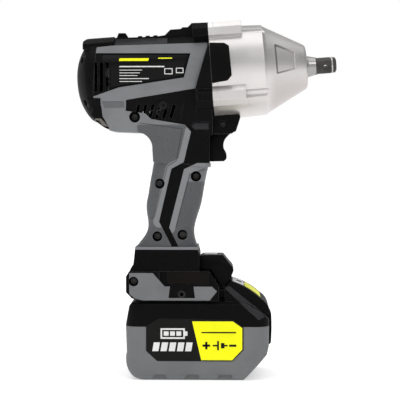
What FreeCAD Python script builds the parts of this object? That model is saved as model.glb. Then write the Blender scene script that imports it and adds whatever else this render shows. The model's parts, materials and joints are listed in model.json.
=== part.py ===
"""Cordless half-inch impact wrench, built piece by piece. Millimetres, +X to the nose, +Z up.

The origin is the middle of the battery's flat bottom. The head leans nose-up on the grip, so its
pieces are made along a level axis in the head's own frame (U forward, Y across, W up) and then
set in place by on_head(). The right side is -Y.
"""
import FreeCAD, Part
import math
import os

V = FreeCAD.Vector

# ---------------------------------------------------------------- driving dimensions
HEAD_HEIGHT = 277.7        # the drive axis above the battery's bottom, at X = 0
HEAD_PITCH = 4.2           # nose-up lean of the drive axis, degrees
RUN = 0.05                 # radial clearance of a running fit
SLIDE = 0.3                # clearance round a sliding or pressed button

# housing
BARREL_R = 38.0            # outside of the motor barrel
FLAT_Y = 36.0              # the barrel's flat sides, from the middle plane
REAR_U = -107.9            # back of the rear cover
SEAM_U = 16.0              # joint between plastic housing and gearbox plate
SKIN = 1.4                 # depth of the grey second moulding
PROUD = 0.8                # how far the grey moulding stands out of the black one
WALL = 4.0                 # housing wall, grey moulding included

# hammer case
CASE_R = 42.2
CASE_BORE_R = 37.0
CASE_STEP_U = 65.5         # front end of the case's wide part
CONE_END_U = 101.5
CONE_END_R = 20.8
NOSE_U = 103.7
UPPER_LUG = (24.5, 36.0, 8.0)       # lug centre, Y and W, and half its width across flats
LOWER_LUG = (36.0, -23.2, 9.0)
LUG_FRONT_U = 46.0
LUG_REAR_U = 2.0           # back of the housing's screw blocks behind the lugs
LUG_SCREW_R = 2.5
LUG_SINK = 6.0             # depth of the screw head's pocket
DRIVER_R = 4.2             # the channel that lets a driver reach the head

# impact mechanism
SQUARE = 12.7              # half-inch drive
SQUARE_ROLL = 20.0
SHANK_R = 10.1             # anvil shank in its bush
BUSH_R = 14.0
PIN_HOLE_R = 2.2
HAMMER_R = 33.5
HAMMER_REAR_U = 46.9       # clears the spring washer when the hammer is right back
HAMMER_FACE_U = 66.0
HAMMER_TRAVEL = 8.0
LUG_REACH = 29.5           # outer radius of the striking lugs
LUG_DEPTH = 7.0
SPINDLE_R = 8.0
SPINDLE_NOSE_R = 5.0
BALL_R = 2.75
BALL_U = 56.0
SPRING_COIL_R = 20.5
SPRING_WIRE_R = 1.6

# planetary gear
MODULE = 1.2
SUN_TEETH = 12
PLANET_TEETH = 18
RING_TEETH = SUN_TEETH + 2 * PLANET_TEETH
PLANETS = 3
PRESSURE_ANGLE = 25.0
BACKLASH = 0.14
PLANET_U = 24.0
PLANET_WIDTH = 9.0
PLANET_PIN_R = 2.5
PLATE_U = 12.0             # back of the gearbox plate's web
PLATE_WEB_R = 31.5
PLATE_T = 4.6              # thickness of its flange, between housing and case
BEARING_OUT_R = 19.0       # spindle bearing
BEARING_IN_R = 12.0
BEARING_W = 5.0

# motor
STATOR_R = 30.0
STATOR_BORE_R = 15.5
STATOR_U = (-72.0, -34.0)
STATOR_TEETH = 6
COIL_OVERHANG = 5.0
ROTOR_R = 15.0
MOTOR_SHAFT_R = 4.0
REAR_BEARING = (9.5, 3.5, 6.0)      # outer radius, shaft radius, width
FRONT_BEARING = (11.0, 5.0, 7.0)
FAN_U = (-91.0, -80.0)
FAN_R = 25.0
FAN_BLADES = 11

# grip and foot
TOP_HALF = 18.0            # half width of the ridge on top of the head
CHIN_HALF = 15.0           # half width of the chin under the case
CHIN_X = 17.0
FOOT_HALF = 35.5
COLLAR_Z = 119.8           # top of the collar under the grip
FOOT_BASE_Z = 71.4         # underside of the foot, just over the battery's top
PANEL_HALF = 21.0
PLATE_OUT = 37.0           # outer face of the grey foot plates
HOOK_BORE_R = 1.65         # tapped M4
HOOK_AT = (-10.5, 77.6)

# battery
BATTERY_HALF = 38.5
BATTERY_SPLIT_Z = 48.5
BATTERY_TOP_Z = 71.0
CASE_WALL = 2.4
CELL_R = 9.1
CELL_SLIP = 0.1            # a wrapped cell slides into its holder
CELL_LENGTH = 65.0
CELL_PITCH = 19.4
RAIL_HALF = 26.0           # half width of the rail's wide upper part
RAIL_NECK_HALF = 22.0
RAIL_TOP_Z = 81.0
RAIL_LIP_Z = 75.0
RAIL_X = (-46.0, 29.0)

# moving controls
TRIGGER_TRAVEL = 7.0
TRIGGER_HALF = 9.0
MODE_TRAVEL = 0.8
RELEASE_TRAVEL = 3.0

# ---------------------------------------------------------------- side outlines, (X, Z)
RIDGE = [(-73, 300), (-73, 310.6), (-51.4, 311.1), (-50.6, 312.2), (-47.6, 312.3), (-46.8, 311.3),
         (-44.4, 311.4), (-43.6, 312.5), (-40.6, 312.6), (-39.8, 311.6), (-37.4, 311.8), (-36.6, 312.8),
         (-33.6, 313), (-32.8, 312), (-26.5, 313), (-21.6, 318.2), (-11.7, 319),
         (-10.8, 320.4), (-5.6, 320.6), (-2.2, 324.4), (12.8, 325), (12.8, 300)]
REAR_BLOCK = [(-101.3, 300), (-101.3, 307.6), (-98.1, 311.2), (-74, 313), (-73, 311.6), (-73, 300)]
STUD = [(-72.1, 310.2), (-69.8, 316.1), (-63.4, 316.1), (-60, 310.2)]
BELLY = [(-88, 262), (-93, 240), (-90.4, 236.2, -84.1, 230.4), (-77, 226.8, -71, 225.9), (-54.2, 225.2),
         (-42.6, 221.6, -37.2, 209), (-36.5, 198), (14.2, 193.4), (14.6, 221.6), (18.8, 223.2),
         (30, 223.4), (34.3, 223.4), (38.6, 225.8), (42.6, 238.3), (40, 243.6), (12, 262)]
BELLY_FRONT = [(-33, 264), (-30, 250), (-23.5, 236), (-18.5, 222), (-17.6, 190)]
FRAME = [(-88, 301.4), (-74, 303), (12.2, 305), (12.6, 301.4), (1.8, 263.4), (-60.8, 253.3), (-61.6, 243.7),
         (-44, 241.3), (-38.6, 236.3), (-8, 231.2), (-2.6, 225), (-9.3, 197.1), (-20.6, 191.1),
         (-32, 142.5), (-20.6, 121), (-20.6, COLLAR_Z), (-70, COLLAR_Z), (-60, 200), (-76, 222), (-77.4, 228.8),
         (-82.8, 238.9), (-83.4, 247.8), (-90.4, 256)]
WINDOW = [(-89.4, 295.6), (-2.5, 294.9), (-8.4, 273.1), (-66.9, 264.2), (-90.6, 256)]
REAR_CUT = [(-120, 330), (-73, 330), (-73, 304.6), (-88, 302.4), (-90.6, 256), (-83.6, 247.8), (-83, 238.9),
            (-77.6, 228.6), (-79, 215), (-120, 215)]
GRIP_FRONT = [(3, 196.3), (25, 196.3), (25, COLLAR_Z), (-14.4, COLLAR_Z), (-14.4, 121), (-22.6, 137), (-9, 190.7)]
COWL = [(12.8, 304.4), (20, 304.4), (20, 242.2), (4.6, 241.2), (2.6, 244.5), (2.2, 263.4), (12.6, 300.8)]
GUARD = [(12, 304.4), (27.7, 304.1), (31.9, 301.4), (34.5, 274.6), (30.9, 270), (19.5, 268), (12, 266.5)]
TRIGGER = [(12, 221.9), (31.6, 221.9), (27.4, 216, 27.6, 209), (29.9, 203.5, 29.6, 200), (27.4, 198),
           (12, 197.7)]
COLLAR = [(-53.4, COLLAR_Z), (3.4, COLLAR_Z), (5.2, 112.5), (5.2, 97), (-58.4, 97), (-57, 101), (-54.8, 104.3)]
BASE = [(-58.4, 98), (14, 98), (23, 84.6), (23, FOOT_BASE_Z), (-47, FOOT_BASE_Z), (-56, 74), (-61, 79.5),
        (-61, 93.6)]
PANEL = [(5.5, 110.2), (8.4, 111.8), (26.6, 111.8), (35.4, 101.1), (36.4, 97.8), (33.4, 89.9), (33, 85.4),
         (23.4, 81.6), (23.4, 84.6), (14.4, 98.2), (5.5, 98.2)]
FOOT_PLATE = [(-57.9, 97), (-36.6, 97), (-25.9, 84.9), (16.9, 84.8), (21.4, 80.6), (14.9, 72.2), (-45.8, 72.2),
              (-53, 74), (-57.9, 78)]
HOOK_POCKET = [(-20.9, 85.6), (0, 85.6), (1.6, 74.4), (-22.4, 74.4)]
BATTERY_LOWER = [(-61.8, BATTERY_SPLIT_Z), (-60.6, 25), (-58.4, 8, -45, 0), (45.2, 0), (66.6, 23),
                 (68.4, 30), (68.6, BATTERY_SPLIT_Z)]
BATTERY_UPPER = [(-61.8, BATTERY_SPLIT_Z), (-58.6, 64.4), (-56.2, 69.4, -52.5, BATTERY_TOP_Z),
                 (46, BATTERY_TOP_Z), (63, 61), (68.6, 54), (68.6, BATTERY_SPLIT_Z)]
HUMP = [(28.6, 60), (28.6, 83), (34.5, 88.6), (49, 82.4, 61, 73.6), (67.6, 66.8, 69.6, 60)]
GRIP_SECTIONS = [(115, -53.0, 3.4, 24), (122, -50.6, 1.4, 21), (132, -43.6, -0.9, 18.4),
                 (146, -42.7, 1.6, 17.5), (166, -42.3, 7, 17.4), (186, -38.9, 10.6, 17.4),
                 (202, -36.4, 13.8, 17.6), (218, -38.6, 15, 18.4), (240, -44, 15, 20)]
SCREWS = {"belly": (-53.7, 238.2, 5.0, -19.0), "grip_rear": (-31.6, 177.5, 4.7, -10.5),
          "grip_front": (1.8, 184.1, 4.8, -8.5), "low_rear": (-33.6, 129.0, 4.6, -11.0),
          "low_front": (-10.5, 130.5, 4.7, -13.0), "chin": (26.7, 231.4, 3.8, -10.5),
          "foot": (-54.0, 89.3, 4.4, -30.0)}         # X, Z, recess radius, Y of the head's seat
SCREW_WALL = 1.2           # boss wall round a screw recess
SCREW_HEAD_R = 3.4
SCREW_SHANK_R = 1.7
SCREW_HEAD_T = 2.4
SCREW_TIP_Y = 7.0          # how far a housing screw reaches into the left half


# ---------------------------------------------------------------- shape helpers
def outline(points, place):
    """Closed wire: a pair is a straight run to a point, a foursome an arc through one to the next."""
    start = points[0][-2:]
    at = start
    edges = []
    for point in points[1:] + [start]:
        if len(point) == 4:
            edges.append(Part.Arc(place(*at), place(*point[:2]), place(*point[2:])).toShape())
        elif math.dist(at, point) > 1e-6:
            edges.append(Part.LineSegment(place(*at), place(*point)).toShape())
        at = point[-2:]
    return Part.Wire(edges)


def prism(points, y0, y1):
    """A side outline drawn out across the tool, from y0 to y1."""
    return Part.Face(outline(points, lambda x, z: V(x, y0, z))).extrude(V(0, y1 - y0, 0))


def front_prism(points, x0, x1):
    """A front outline of (Y, Z) points drawn out along the tool, from x0 to x1."""
    return Part.Face(outline(points, lambda y, z: V(x0, y, z))).extrude(V(x1 - x0, 0, 0))


def mirrored_front(points, x0, x1):
    """A front prism whose outline is given for the right side only, from top to bottom."""
    return front_prism(points + [(-y, z) for y, z in reversed(points)], x0, x1)


def box(x0, x1, y0, y1, z0, z1):
    return Part.makeBox(x1 - x0, y1 - y0, z1 - z0, V(x0, y0, z0))


def rod(x, z, radius, y0, y1):
    """A cylinder across the tool."""
    return Part.makeCylinder(radius, y1 - y0, V(x, y0, z), V(0, 1, 0))


def disc(u0, u1, radius, y=0.0, w=0.0):
    """A cylinder along the head's axis."""
    return Part.makeCylinder(radius, u1 - u0, V(u0, y, w), V(1, 0, 0))


def ring(u0, u1, outer, inner):
    return disc(u0, u1, outer).cut(disc(u0 - 1, u1 + 1, inner))


def turned(points):
    """A solid turned about the head's axis from (U, radius) points."""
    face = Part.Face(outline(points, lambda u, r: V(u, 0, r)))
    return face.revolve(V(0, 0, 0), V(1, 0, 0), 360)


def spun(shape, degrees):
    """A copy turned about the head's axis."""
    copy = shape.copy()
    copy.rotate(V(0, 0, 0), V(1, 0, 0), degrees)
    return copy


def fused(shapes):
    return shapes[0].multiFuse(shapes[1:]).removeSplitter() if len(shapes) > 1 else shapes[0]


def mirrored(shape):
    """The left-hand copy of a right-hand piece."""
    return shape.mirror(V(0, 0, 0), V(0, 1, 0))


def on_head(shape):
    """A piece made along the level axis, set on the tool at the head's place and lean."""
    placed = shape.copy()
    placed.rotate(V(0, 0, 0), V(0, 1, 0), -HEAD_PITCH)
    placed.translate(V(0, 0, HEAD_HEIGHT))
    return placed


def save(node, *shapes):
    """Write one node, as one solid or as a group of separate solids."""
    solids = [solid for shape in shapes for solid in shape.Solids]
    for solid in solids:
        if not solid.isValid():
            print("NOT VALID:", node)
    shape = solids[0] if len(solids) == 1 else Part.makeCompound(solids)
    shape.exportStep(f"parts/{node}.step")
    print(f"{node}: {len(solids)} solid(s), {shape.Volume / 1000:.2f} cm3")


# ---------------------------------------------------------------- housing forms
def barrel_form(inset, front_u):
    """The motor barrel: a domed cylinder with flat sides, shrunk by an inset."""
    rear = REAR_U + inset
    r = BARREL_R - inset
    body = turned([(rear, 0), (rear + 3.2, r - 15.6, rear + 10, r - 4), (rear + 14.6, r - 1, rear + 21, r),
                   (front_u, r), (front_u, 0)])
    flat = FLAT_Y - inset
    return on_head(body.common(box(rear - 1, front_u + 1, -flat, flat, -60, 60)))


def grip_form(inset):
    """The grip: superelliptic sections joined by one smooth skin."""
    wires = []
    for z, x_rear, x_front, half in GRIP_SECTIONS:
        middle = (x_rear + x_front) / 2
        a = (x_front - x_rear) / 2 - inset
        b = half - inset
        points = []
        for step in range(16):
            angle = 2 * math.pi * step / 16
            c, s = math.cos(angle), math.sin(angle)
            points.append(V(middle + a * math.copysign(abs(c) ** 0.8, c), b * math.copysign(abs(s) ** 0.8, s), z))
        curve = Part.BSplineCurve()
        curve.interpolate(Points=points, PeriodicFlag=True)
        wires.append(Part.Wire([curve.toShape()]))
    return Part.makeLoft(wires, True, False)


def belly_form(inset):
    """The body between barrel, grip and chin, with sides that lean in downwards."""
    sides = mirrored_front([(y + inset, z) for y, z in BELLY_FRONT], -140, 60)
    body = shrunk(BELLY, inset, -40, 40) if inset else prism(BELLY, -40, 40)
    cheek = box(CHIN_X - inset, 60, -60, inset - CHIN_HALF, 180, 250)
    return body.common(sides).cut(cheek).cut(mirrored(cheek))


def shrunk(points, inset, y0, y1):
    """A side prism whose outline is drawn in by an inset."""
    wire = outline(points, lambda x, z: V(x, y0, z))
    drawn = wire.makeOffset2D(-inset)
    if (drawn.BoundBox.XLength < wire.BoundBox.XLength) != (inset > 0):
        drawn = wire.makeOffset2D(inset)
    return Part.Face(drawn).extrude(V(0, y1 - y0, 0))


def ridge_form(inset):
    """The ridge on top of the barrel and the raised block at its rear."""
    half = TOP_HALF - inset
    slopes = mirrored_front([(-half, 300), (-half, 312 - inset), (-half + 5, 326 - inset)], -130, 40)
    side = shrunk(RIDGE, inset, -half, half) if inset else prism(RIDGE, -half, half)
    return side.common(slopes)


def rear_block_form():
    """The raised band across the top of the rear cover, bent round the barrel."""
    half = TOP_HALF + 4
    return prism(REAR_BLOCK, -half, half).common(on_head(disc(-110, -60, BARREL_R + 2.8)))


def screw_blocks():
    """The cowl round the barrel's front and the blocks that the case's screws bite into."""
    cowl = on_head(disc(-12, SEAM_U, CASE_R + 1.8)).common(prism(COWL, -60, -20))
    blocks = [on_head(octagon(LUG_REAR_U, SEAM_U, *lug)) for lug in LUGS]
    return fused([cowl, mirrored(cowl)] + blocks)


def ridge_slots():
    """Three small blind slots in each side of the ridge."""
    slots = [box(x, x + 3, -TOP_HALF - 1, 1.6 - TOP_HALF, 305.2, 308.2) for x in (-50.6, -43.6, -36.6)]
    return fused(slots + [mirrored(slot) for slot in slots])


def biggest(shape):
    """The piece itself, without the crumbs that a cut along a curved skin can leave."""
    return max(shape.Solids, key=lambda solid: solid.Volume)


def foot_form():
    """Collar under the grip and the broad foot that carries the battery's rails."""
    collar = prism(COLLAR, -34, 34).common(mirrored_front([(-24.5, 120), (-26, 112), (-31, 97)], -80, 40))
    base = prism(BASE, -FOOT_HALF, FOOT_HALF)
    slope = front_prism([(-FOOT_HALF - 1, 99), (-31, 99), (-31, 98), (-FOOT_HALF, 85.6), (-FOOT_HALF - 1, 85.6)],
                        -31, 30)
    return collar.fuse(base.cut(slope).cut(mirrored(slope)))


def layer(inset):
    """The whole plastic body at one depth under its skin."""
    return fused([barrel_form(inset, SEAM_U), belly_form(inset), grip_form(inset)])


def right_half(shape):
    return shape.common(box(-150, 150, -80, 0, -10, 350))


# ---------------------------------------------------------------- drive train
def tooth_outline(teeth, tip, root, thicken, phase):
    """Involute tooth outline in the plane across the axis, as (Y, W) points."""
    pitch_r = MODULE * teeth / 2
    base_r = pitch_r * math.cos(math.radians(PRESSURE_ANGLE))
    pressure = math.radians(PRESSURE_ANGLE)
    half = math.pi / (2 * teeth) + thicken / (2 * pitch_r) + math.tan(pressure) - pressure
    flank = []
    for step in range(5):
        radius = max(base_r, root) + (tip - max(base_r, root)) * step / 4
        slope = math.acos(min(1, base_r / radius))
        flank.append((radius, half - math.tan(slope) + slope))
    if root < base_r:
        flank.insert(0, (root, half))
    points = []
    for tooth in range(teeth):
        middle = 2 * math.pi * tooth / teeth + math.radians(phase)
        for radius, spread in [(r, -a) for r, a in flank] + list(reversed(flank)):
            points.append((radius * math.cos(middle + spread), radius * math.sin(middle + spread)))
    return points


def gear(teeth, u0, width, phase):
    """A spur gear blank with its teeth, on the head's axis."""
    pitch_r = MODULE * teeth / 2
    points = tooth_outline(teeth, pitch_r + 0.85 * MODULE, pitch_r - 1.15 * MODULE, -BACKLASH / 2, phase)
    return front_prism(points, u0, u0 + width)


def planet_place(index):
    """Y and W of a planet's centre, and its angle."""
    angle = 90 + 360 / PLANETS * index
    reach = MODULE * (SUN_TEETH + PLANET_TEETH) / 2
    return reach * math.cos(math.radians(angle)), reach * math.sin(math.radians(angle)), angle


def planet_gear(index):
    y, w, angle = planet_place(index)
    body = gear(PLANET_TEETH, PLANET_U, PLANET_WIDTH, angle + 180 / PLANET_TEETH)
    body = body.cut(disc(PLANET_U - 1, PLANET_U + PLANET_WIDTH + 1, PLANET_PIN_R + RUN))
    body.translate(V(0, y, w))
    return body


def ring_gear():
    pitch_r = MODULE * RING_TEETH / 2
    hollow = tooth_outline(RING_TEETH, pitch_r + 1.15 * MODULE, pitch_r - 0.85 * MODULE, BACKLASH / 2,
                           180 / RING_TEETH)
    u0 = PLANET_U - 2.5
    return disc(u0, PLANET_U + PLANET_WIDTH + 0.5, CASE_BORE_R).cut(front_prism(hollow, u0 - 1, u0 + 20))


CARRIER_R = 26.0
CARRIER_REAR = (PLANET_U - 3.4, PLANET_U - 0.4)
CARRIER_FRONT = (PLANET_U + PLANET_WIDTH + 0.4, PLANET_U + PLANET_WIDTH + 4)
WASHER_U = (CARRIER_FRONT[1], CARRIER_FRONT[1] + 1.4)
NOSE_STEP_U = HAMMER_FACE_U - 0.5
SPINDLE_END_U = 77.0
SUN_CLEAR_R = MODULE * SUN_TEETH / 2 + MODULE + 0.4


def spindle():
    """Planet carrier and hammer spindle in one forging."""
    bearing_u = PLATE_U + PLATE_T + 4 - BEARING_W - 0.3
    hub = disc(bearing_u, CARRIER_REAR[0], BEARING_IN_R - RUN)
    body = fused([hub, disc(*CARRIER_REAR, CARRIER_R), disc(*CARRIER_FRONT, CARRIER_R),
                  disc(CARRIER_FRONT[1], NOSE_STEP_U, SPINDLE_R), disc(NOSE_STEP_U, SPINDLE_END_U, SPINDLE_NOSE_R)]
                 + [carrier_post(index) for index in range(PLANETS)])
    body = body.cut(disc(bearing_u - 1, CARRIER_FRONT[0], SUN_CLEAR_R))
    for index in range(PLANETS):
        y, w, _ = planet_place(index)
        body = body.cut(disc(CARRIER_REAR[0] - 1, CARRIER_FRONT[1] - 0.6, PLANET_PIN_R, y, w))
    for side in (0, 180):
        body = body.cut(spun(Part.makeSphere(BALL_R + RUN, V(BALL_U, 0, SPINDLE_R)), side))
    return body


def carrier_post(index):
    """A post between the carrier's two flanges, in the gap between neighbouring planets."""
    post = disc(CARRIER_REAR[0], CARRIER_FRONT[1], 2.6, 22.2, 0)
    return spun(post, 30 + 360 / PLANETS * index)


def planet_pins():
    pins = []
    for index in range(PLANETS):
        y, w, _ = planet_place(index)
        pins.append(disc(CARRIER_REAR[0], CARRIER_FRONT[1] - 0.6, PLANET_PIN_R, y, w))
    return pins


def sector(u0, u1, inner, outer, middle, half):
    """A wedge of a ring, from angle middle - half to middle + half."""
    reach = outer * 1.6
    a, b = math.radians(middle - half), math.radians(middle + half)
    wedge = front_prism([(0, 0), (reach * math.cos(a), reach * math.sin(a)),
                         (reach * math.cos(b), reach * math.sin(b))], u0, u1)
    return ring(u0, u1, outer, inner).common(wedge)


def hammer():
    """Ring hammer with its two striking lugs, the spring's recess and the ball grooves."""
    body = disc(HAMMER_REAR_U, HAMMER_FACE_U, HAMMER_R)
    lugs = [sector(HAMMER_FACE_U - 1, HAMMER_FACE_U + LUG_DEPTH, 13.4, LUG_REACH, side, 26) for side in (0, 180)]
    body = fused([body] + lugs)
    body = body.cut(ring(HAMMER_REAR_U - 1, 60.5, 27.5, 15.5))
    body = body.cut(disc(HAMMER_REAR_U - 1, HAMMER_FACE_U + 1, SPINDLE_R + RUN))
    for side in (0, 180):
        groove = disc(BALL_U, BALL_U + HAMMER_TRAVEL, BALL_R + RUN, 0, SPINDLE_R)
        ends = [Part.makeSphere(BALL_R + RUN, V(BALL_U + x, 0, SPINDLE_R)) for x in (0, HAMMER_TRAVEL)]
        for tool in [groove] + ends:
            body = body.cut(spun(tool, side))
    return body


def cam_balls():
    return [spun(Part.makeSphere(BALL_R, V(BALL_U, 0, SPINDLE_R)), side) for side in (0, 180)]


def coil_spring(length, coil_r, wire_r, turns):
    """A helical spring that starts at the origin and runs along +X."""
    helix = Part.makeHelix((length - 2 * wire_r) / turns, length - 2 * wire_r, coil_r)
    section = Part.Wire([Part.makeCircle(wire_r, V(coil_r, 0, 0), V(0, 1, 0))])
    body = Part.Wire(helix.Edges).makePipeShell([section], True, True)
    body.rotate(V(0, 0, 0), V(0, 1, 0), 90)
    body.translate(V(wire_r, 0, 0))
    return body


def anvil():
    """Anvil: striking lugs, shank, tapered neck and the rolled square drive with its pin hole."""
    lug_u = HAMMER_FACE_U + 0.6
    body = turned([(lug_u, 0), (lug_u, 13), (76, 13), (76, SHANK_R), (104.4, SHANK_R), (105, 9.8), (112.4, 8),
                   (113.2, 8), (113.2, 0)])
    lugs = [sector(lug_u, 76, 12, LUG_REACH, side, 62 - 26) for side in (90, 270)]
    half = SQUARE / 2
    square = box(112, 131.3, -half, half, -half, half)
    round_off = turned([(111, 0), (111, 8), (126.2, 8), (126.2, 6.3), (128.6, 6.3), (128.6, 7.6),
                        (130.2, 7.2), (131.3, 5.6), (131.3, 0)])
    drive = square.common(round_off)
    drive.rotate(V(0, 0, 0), V(1, 0, 0), SQUARE_ROLL)
    body = fused([body] + lugs + [drive]).cut(disc(lug_u - 1, 78.6, SPINDLE_NOSE_R + RUN))
    hole = Part.makeCylinder(PIN_HOLE_R, 40, V(121.3, 0, -20), V(0, 0, 1))
    hole.rotate(V(0, 0, 0), V(1, 0, 0), 90 + SQUARE_ROLL)
    return body.cut(hole)


def friction_ring():
    """Split spring ring in the drive's groove."""
    body = turned([(126.4, 6.32), (126.7, 7.5), (128.1, 7.5), (128.4, 6.32)])
    gap = box(126, 129, -0.8, 0.8, 5, 9)
    gap.rotate(V(0, 0, 0), V(1, 0, 0), 200)
    return body.cut(gap)


def octagon(u0, u1, y, w, half):
    """An eight-sided boss along the axis."""
    reach = half / math.cos(math.pi / 8)
    points = [(y + reach * math.cos(math.radians(22.5 + 45 * k)), w + reach * math.sin(math.radians(22.5 + 45 * k)))
              for k in range(8)]
    return front_prism(points, u0, u1)


LUGS = [(side * y, w, half) for y, w, half in (UPPER_LUG, LOWER_LUG) for side in (-1, 1)]
CASE_U = SEAM_U + PLATE_T
CASE_OUTSIDE = [(CASE_U, CASE_R), (48, CASE_R), (64.4, CASE_R - 0.8), (CASE_STEP_U, CASE_R - 2),
                (CASE_STEP_U + 2.4, CASE_R - 3.4), (CONE_END_U, CONE_END_R),
                (CONE_END_U + 1.7, CONE_END_R - 1.6, NOSE_U, CONE_END_R - 4.6)]
TRAPEZOID = [(73.5, 303.0), (91.1, 297.2), (91.7, 281.6), (75.6, 277.0)]
PANEL_DEPTH = 1.1


def hammer_case():
    """Cast case: wide rear barrel, cone and nose, with four screw lugs and their driver channels."""
    inside = [(NOSE_U, BUSH_R), (78, BUSH_R), (78, LUG_REACH + 0.6), (67, CASE_BORE_R), (CASE_U, CASE_BORE_R)]
    body = turned(CASE_OUTSIDE + inside)
    lugs = [octagon(CASE_U, LUG_FRONT_U, *lug).cut(disc(0, 90, CASE_BORE_R + 1)) for lug in LUGS]
    body = fused([body] + lugs)
    for y, w, _ in LUGS:
        body = body.cut(disc(CASE_U - 1, LUG_FRONT_U + 1, LUG_SCREW_R + 0.1, y, w))
        body = body.cut(disc(LUG_FRONT_U - LUG_SINK, CONE_END_U, DRIVER_R, y, w))
    body = on_head(body)
    blank = turned([(CASE_U, 0)] + CASE_OUTSIDE + [(NOSE_U, 0)])
    core = turned([(CASE_U, 0)] + [p[:-1] + (p[-1] - PANEL_DEPTH,) for p in CASE_OUTSIDE] + [(NOSE_U, 0)])
    skin = on_head(blank.cut(core)).common(prism(TRAPEZOID, -50, -10))
    return body.cut(skin).cut(mirrored(skin))


def case_screws():
    """Four long screws through the case's lugs and the plate's ears into the housing's blocks."""
    seat = LUG_FRONT_U - LUG_SINK
    screws = []
    for y, w, _ in LUGS:
        head = disc(seat, seat + 4, DRIVER_R - SLIDE, y, w).cut(disc(seat + 2, seat + 5, 1.9, y, w))
        screws.append(on_head(head.fuse(disc(LUG_REAR_U + 2, seat, LUG_SCREW_R, y, w))))
    return screws


def gearbox_plate():
    """Cast plate between motor and gears: web, flange with four ears, both bearing seats."""
    flange_end = SEAM_U + PLATE_T
    parts = [disc(PLATE_U, SEAM_U + 1, PLATE_WEB_R), disc(SEAM_U, flange_end, CASE_R), disc(-1, PLATE_U + 1, 14)]
    parts += [octagon(SEAM_U, flange_end, *lug) for lug in LUGS]
    body = fused(parts)
    for y, w, _ in LUGS:
        body = body.cut(disc(SEAM_U - 1, flange_end + 1, LUG_SCREW_R + 0.1, y, w))
    body = body.cut(disc(flange_end - BEARING_W - 0.3, flange_end + 1, BEARING_OUT_R))
    body = body.cut(ring(SEAM_U + 2, flange_end + 1, CASE_BORE_R - 2, BEARING_OUT_R + 3))
    body = body.cut(disc(-2, 6, FRONT_BEARING[0])).cut(disc(0, flange_end, SUN_CLEAR_R))
    return on_head(body)


def bearing(u0, width, outer, inner):
    """A shielded ball bearing as one ring, with the shields' grooves on both faces."""
    body = ring(u0, u0 + width, outer, inner)
    middle = (outer + inner) / 2
    for face in (u0, u0 + width):
        body = body.cut(ring(face - 0.3, face + 0.3, middle + 1.2, middle + 0.9))
    return on_head(body)


# ---------------------------------------------------------------- motor
def rotor_shaft():
    body = fused([disc(-101, REAR_U + 13.5, REAR_BEARING[1] - RUN), disc(REAR_U + 13.5, 5, MOTOR_SHAFT_R),
                  disc(-1, PLANET_U - 0.2, FRONT_BEARING[1] - RUN),
                  gear(SUN_TEETH, PLANET_U - 0.2, PLANET_WIDTH + 0.2, 0)])
    return on_head(body)


def rotor_core():
    """Laminations with a pocket row for the magnets."""
    body = ring(STATOR_U[0] - 1, STATOR_U[1] + 1, ROTOR_R, MOTOR_SHAFT_R)
    for index in range(4):
        pocket = box(STATOR_U[0] - 2, STATOR_U[0], -6, 6, 10.4, 12.4)
        body = body.cut(spun(pocket, 90 * index))
    return on_head(body)


def stator_core():
    """Laminated ring with six pole teeth."""
    u0, u1 = STATOR_U
    body = ring(u0, u1, STATOR_R, STATOR_R - 4.5)
    teeth = []
    for index in range(STATOR_TEETH):
        angle = 360 / STATOR_TEETH * index
        stem = box(u0, u1, -3.6, 3.6, STATOR_BORE_R + 1, STATOR_R - 2)
        shoe = sector(u0, u1, STATOR_BORE_R, STATOR_BORE_R + 2.4, 90, 24)
        teeth.append(spun(stem.common(ring(u0, u1, STATOR_R, STATOR_BORE_R)).fuse(shoe), angle))
    return on_head(fused([body] + teeth))


def stator_coils():
    """One winding in each slot, standing out past both ends of the core."""
    coils = []
    for index in range(STATOR_TEETH):
        coil = sector(STATOR_U[0] - COIL_OVERHANG, STATOR_U[1] + COIL_OVERHANG, STATOR_BORE_R + 2.8,
                      STATOR_R - 4.9, 60, 15.5)
        coils.append(on_head(spun(coil, 360 / STATOR_TEETH * index)))
    return coils


def hall_board():
    u0 = STATOR_U[1] + COIL_OVERHANG + 0.3
    return on_head(ring(u0, u0 + 1.6, STATOR_R - 4.5, 9))


def cooling_fan():
    """Radial fan: hub, back disc and straight blades."""
    u0, u1 = FAN_U
    parts = [ring(u0, u1, 8, MOTOR_SHAFT_R), ring(u1 - 1.6, u1, FAN_R, 7)]
    for index in range(FAN_BLADES):
        parts.append(spun(box(u0, u1 - 1, -0.7, 0.7, 7, FAN_R - 0.5), 360 / FAN_BLADES * index))
    return on_head(fused(parts))


# ---------------------------------------------------------------- housing
SLOTS = [(-89.0, -86.4), (-84.4, -81.0), (-79.0, -75.8)]
COVER_SCREWS = [(y, w) for y in (-24, 24) for w in (-20, 20)]
LENS = [(31.6, 223.4), (34.3, 223.4), (38.6, 225.8), (39.6, 229), (33, 226.8)]
BUTTON = [(-2, 229.9), (1, 232.9), (13.5, 232.9), (13.5, 226.9), (1, 226.9)]
BUTTON_HALF = 22.6


def vents():
    """The slots in the right side: three upright ones at the rear and a row of slanted ones."""
    slots = [prism([(x0, 286.9), (x1, 286.9), (x1, 261.5), (x0, 259.4)], -60, -20) for x0, x1 in SLOTS]
    for index in range(6):
        x = -54.5 + 6.4 * index
        slots.append(prism([(x, 236.5 + 0.15 * index), (x + 2.8, 236.5), (x + 6.6, 249), (x + 3.8, 249)], -60, -14))
    return fused(slots)


def channel():
    """The space for the battery's rail and for the terminal block behind it."""
    gap = 0.4
    neck = box(RAIL_X[0] - gap, 60, -RAIL_NECK_HALF - gap, RAIL_NECK_HALF + gap, FOOT_BASE_Z - 1, RAIL_TOP_Z + gap)
    wide = box(RAIL_X[0] - gap, 60, -RAIL_HALF - gap, RAIL_HALF + gap, RAIL_LIP_Z - gap, RAIL_TOP_Z + gap)
    pocket = box(-56, RAIL_X[0], -20, 20, 74.5, 83)
    return fused([neck, wide, pocket])


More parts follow.
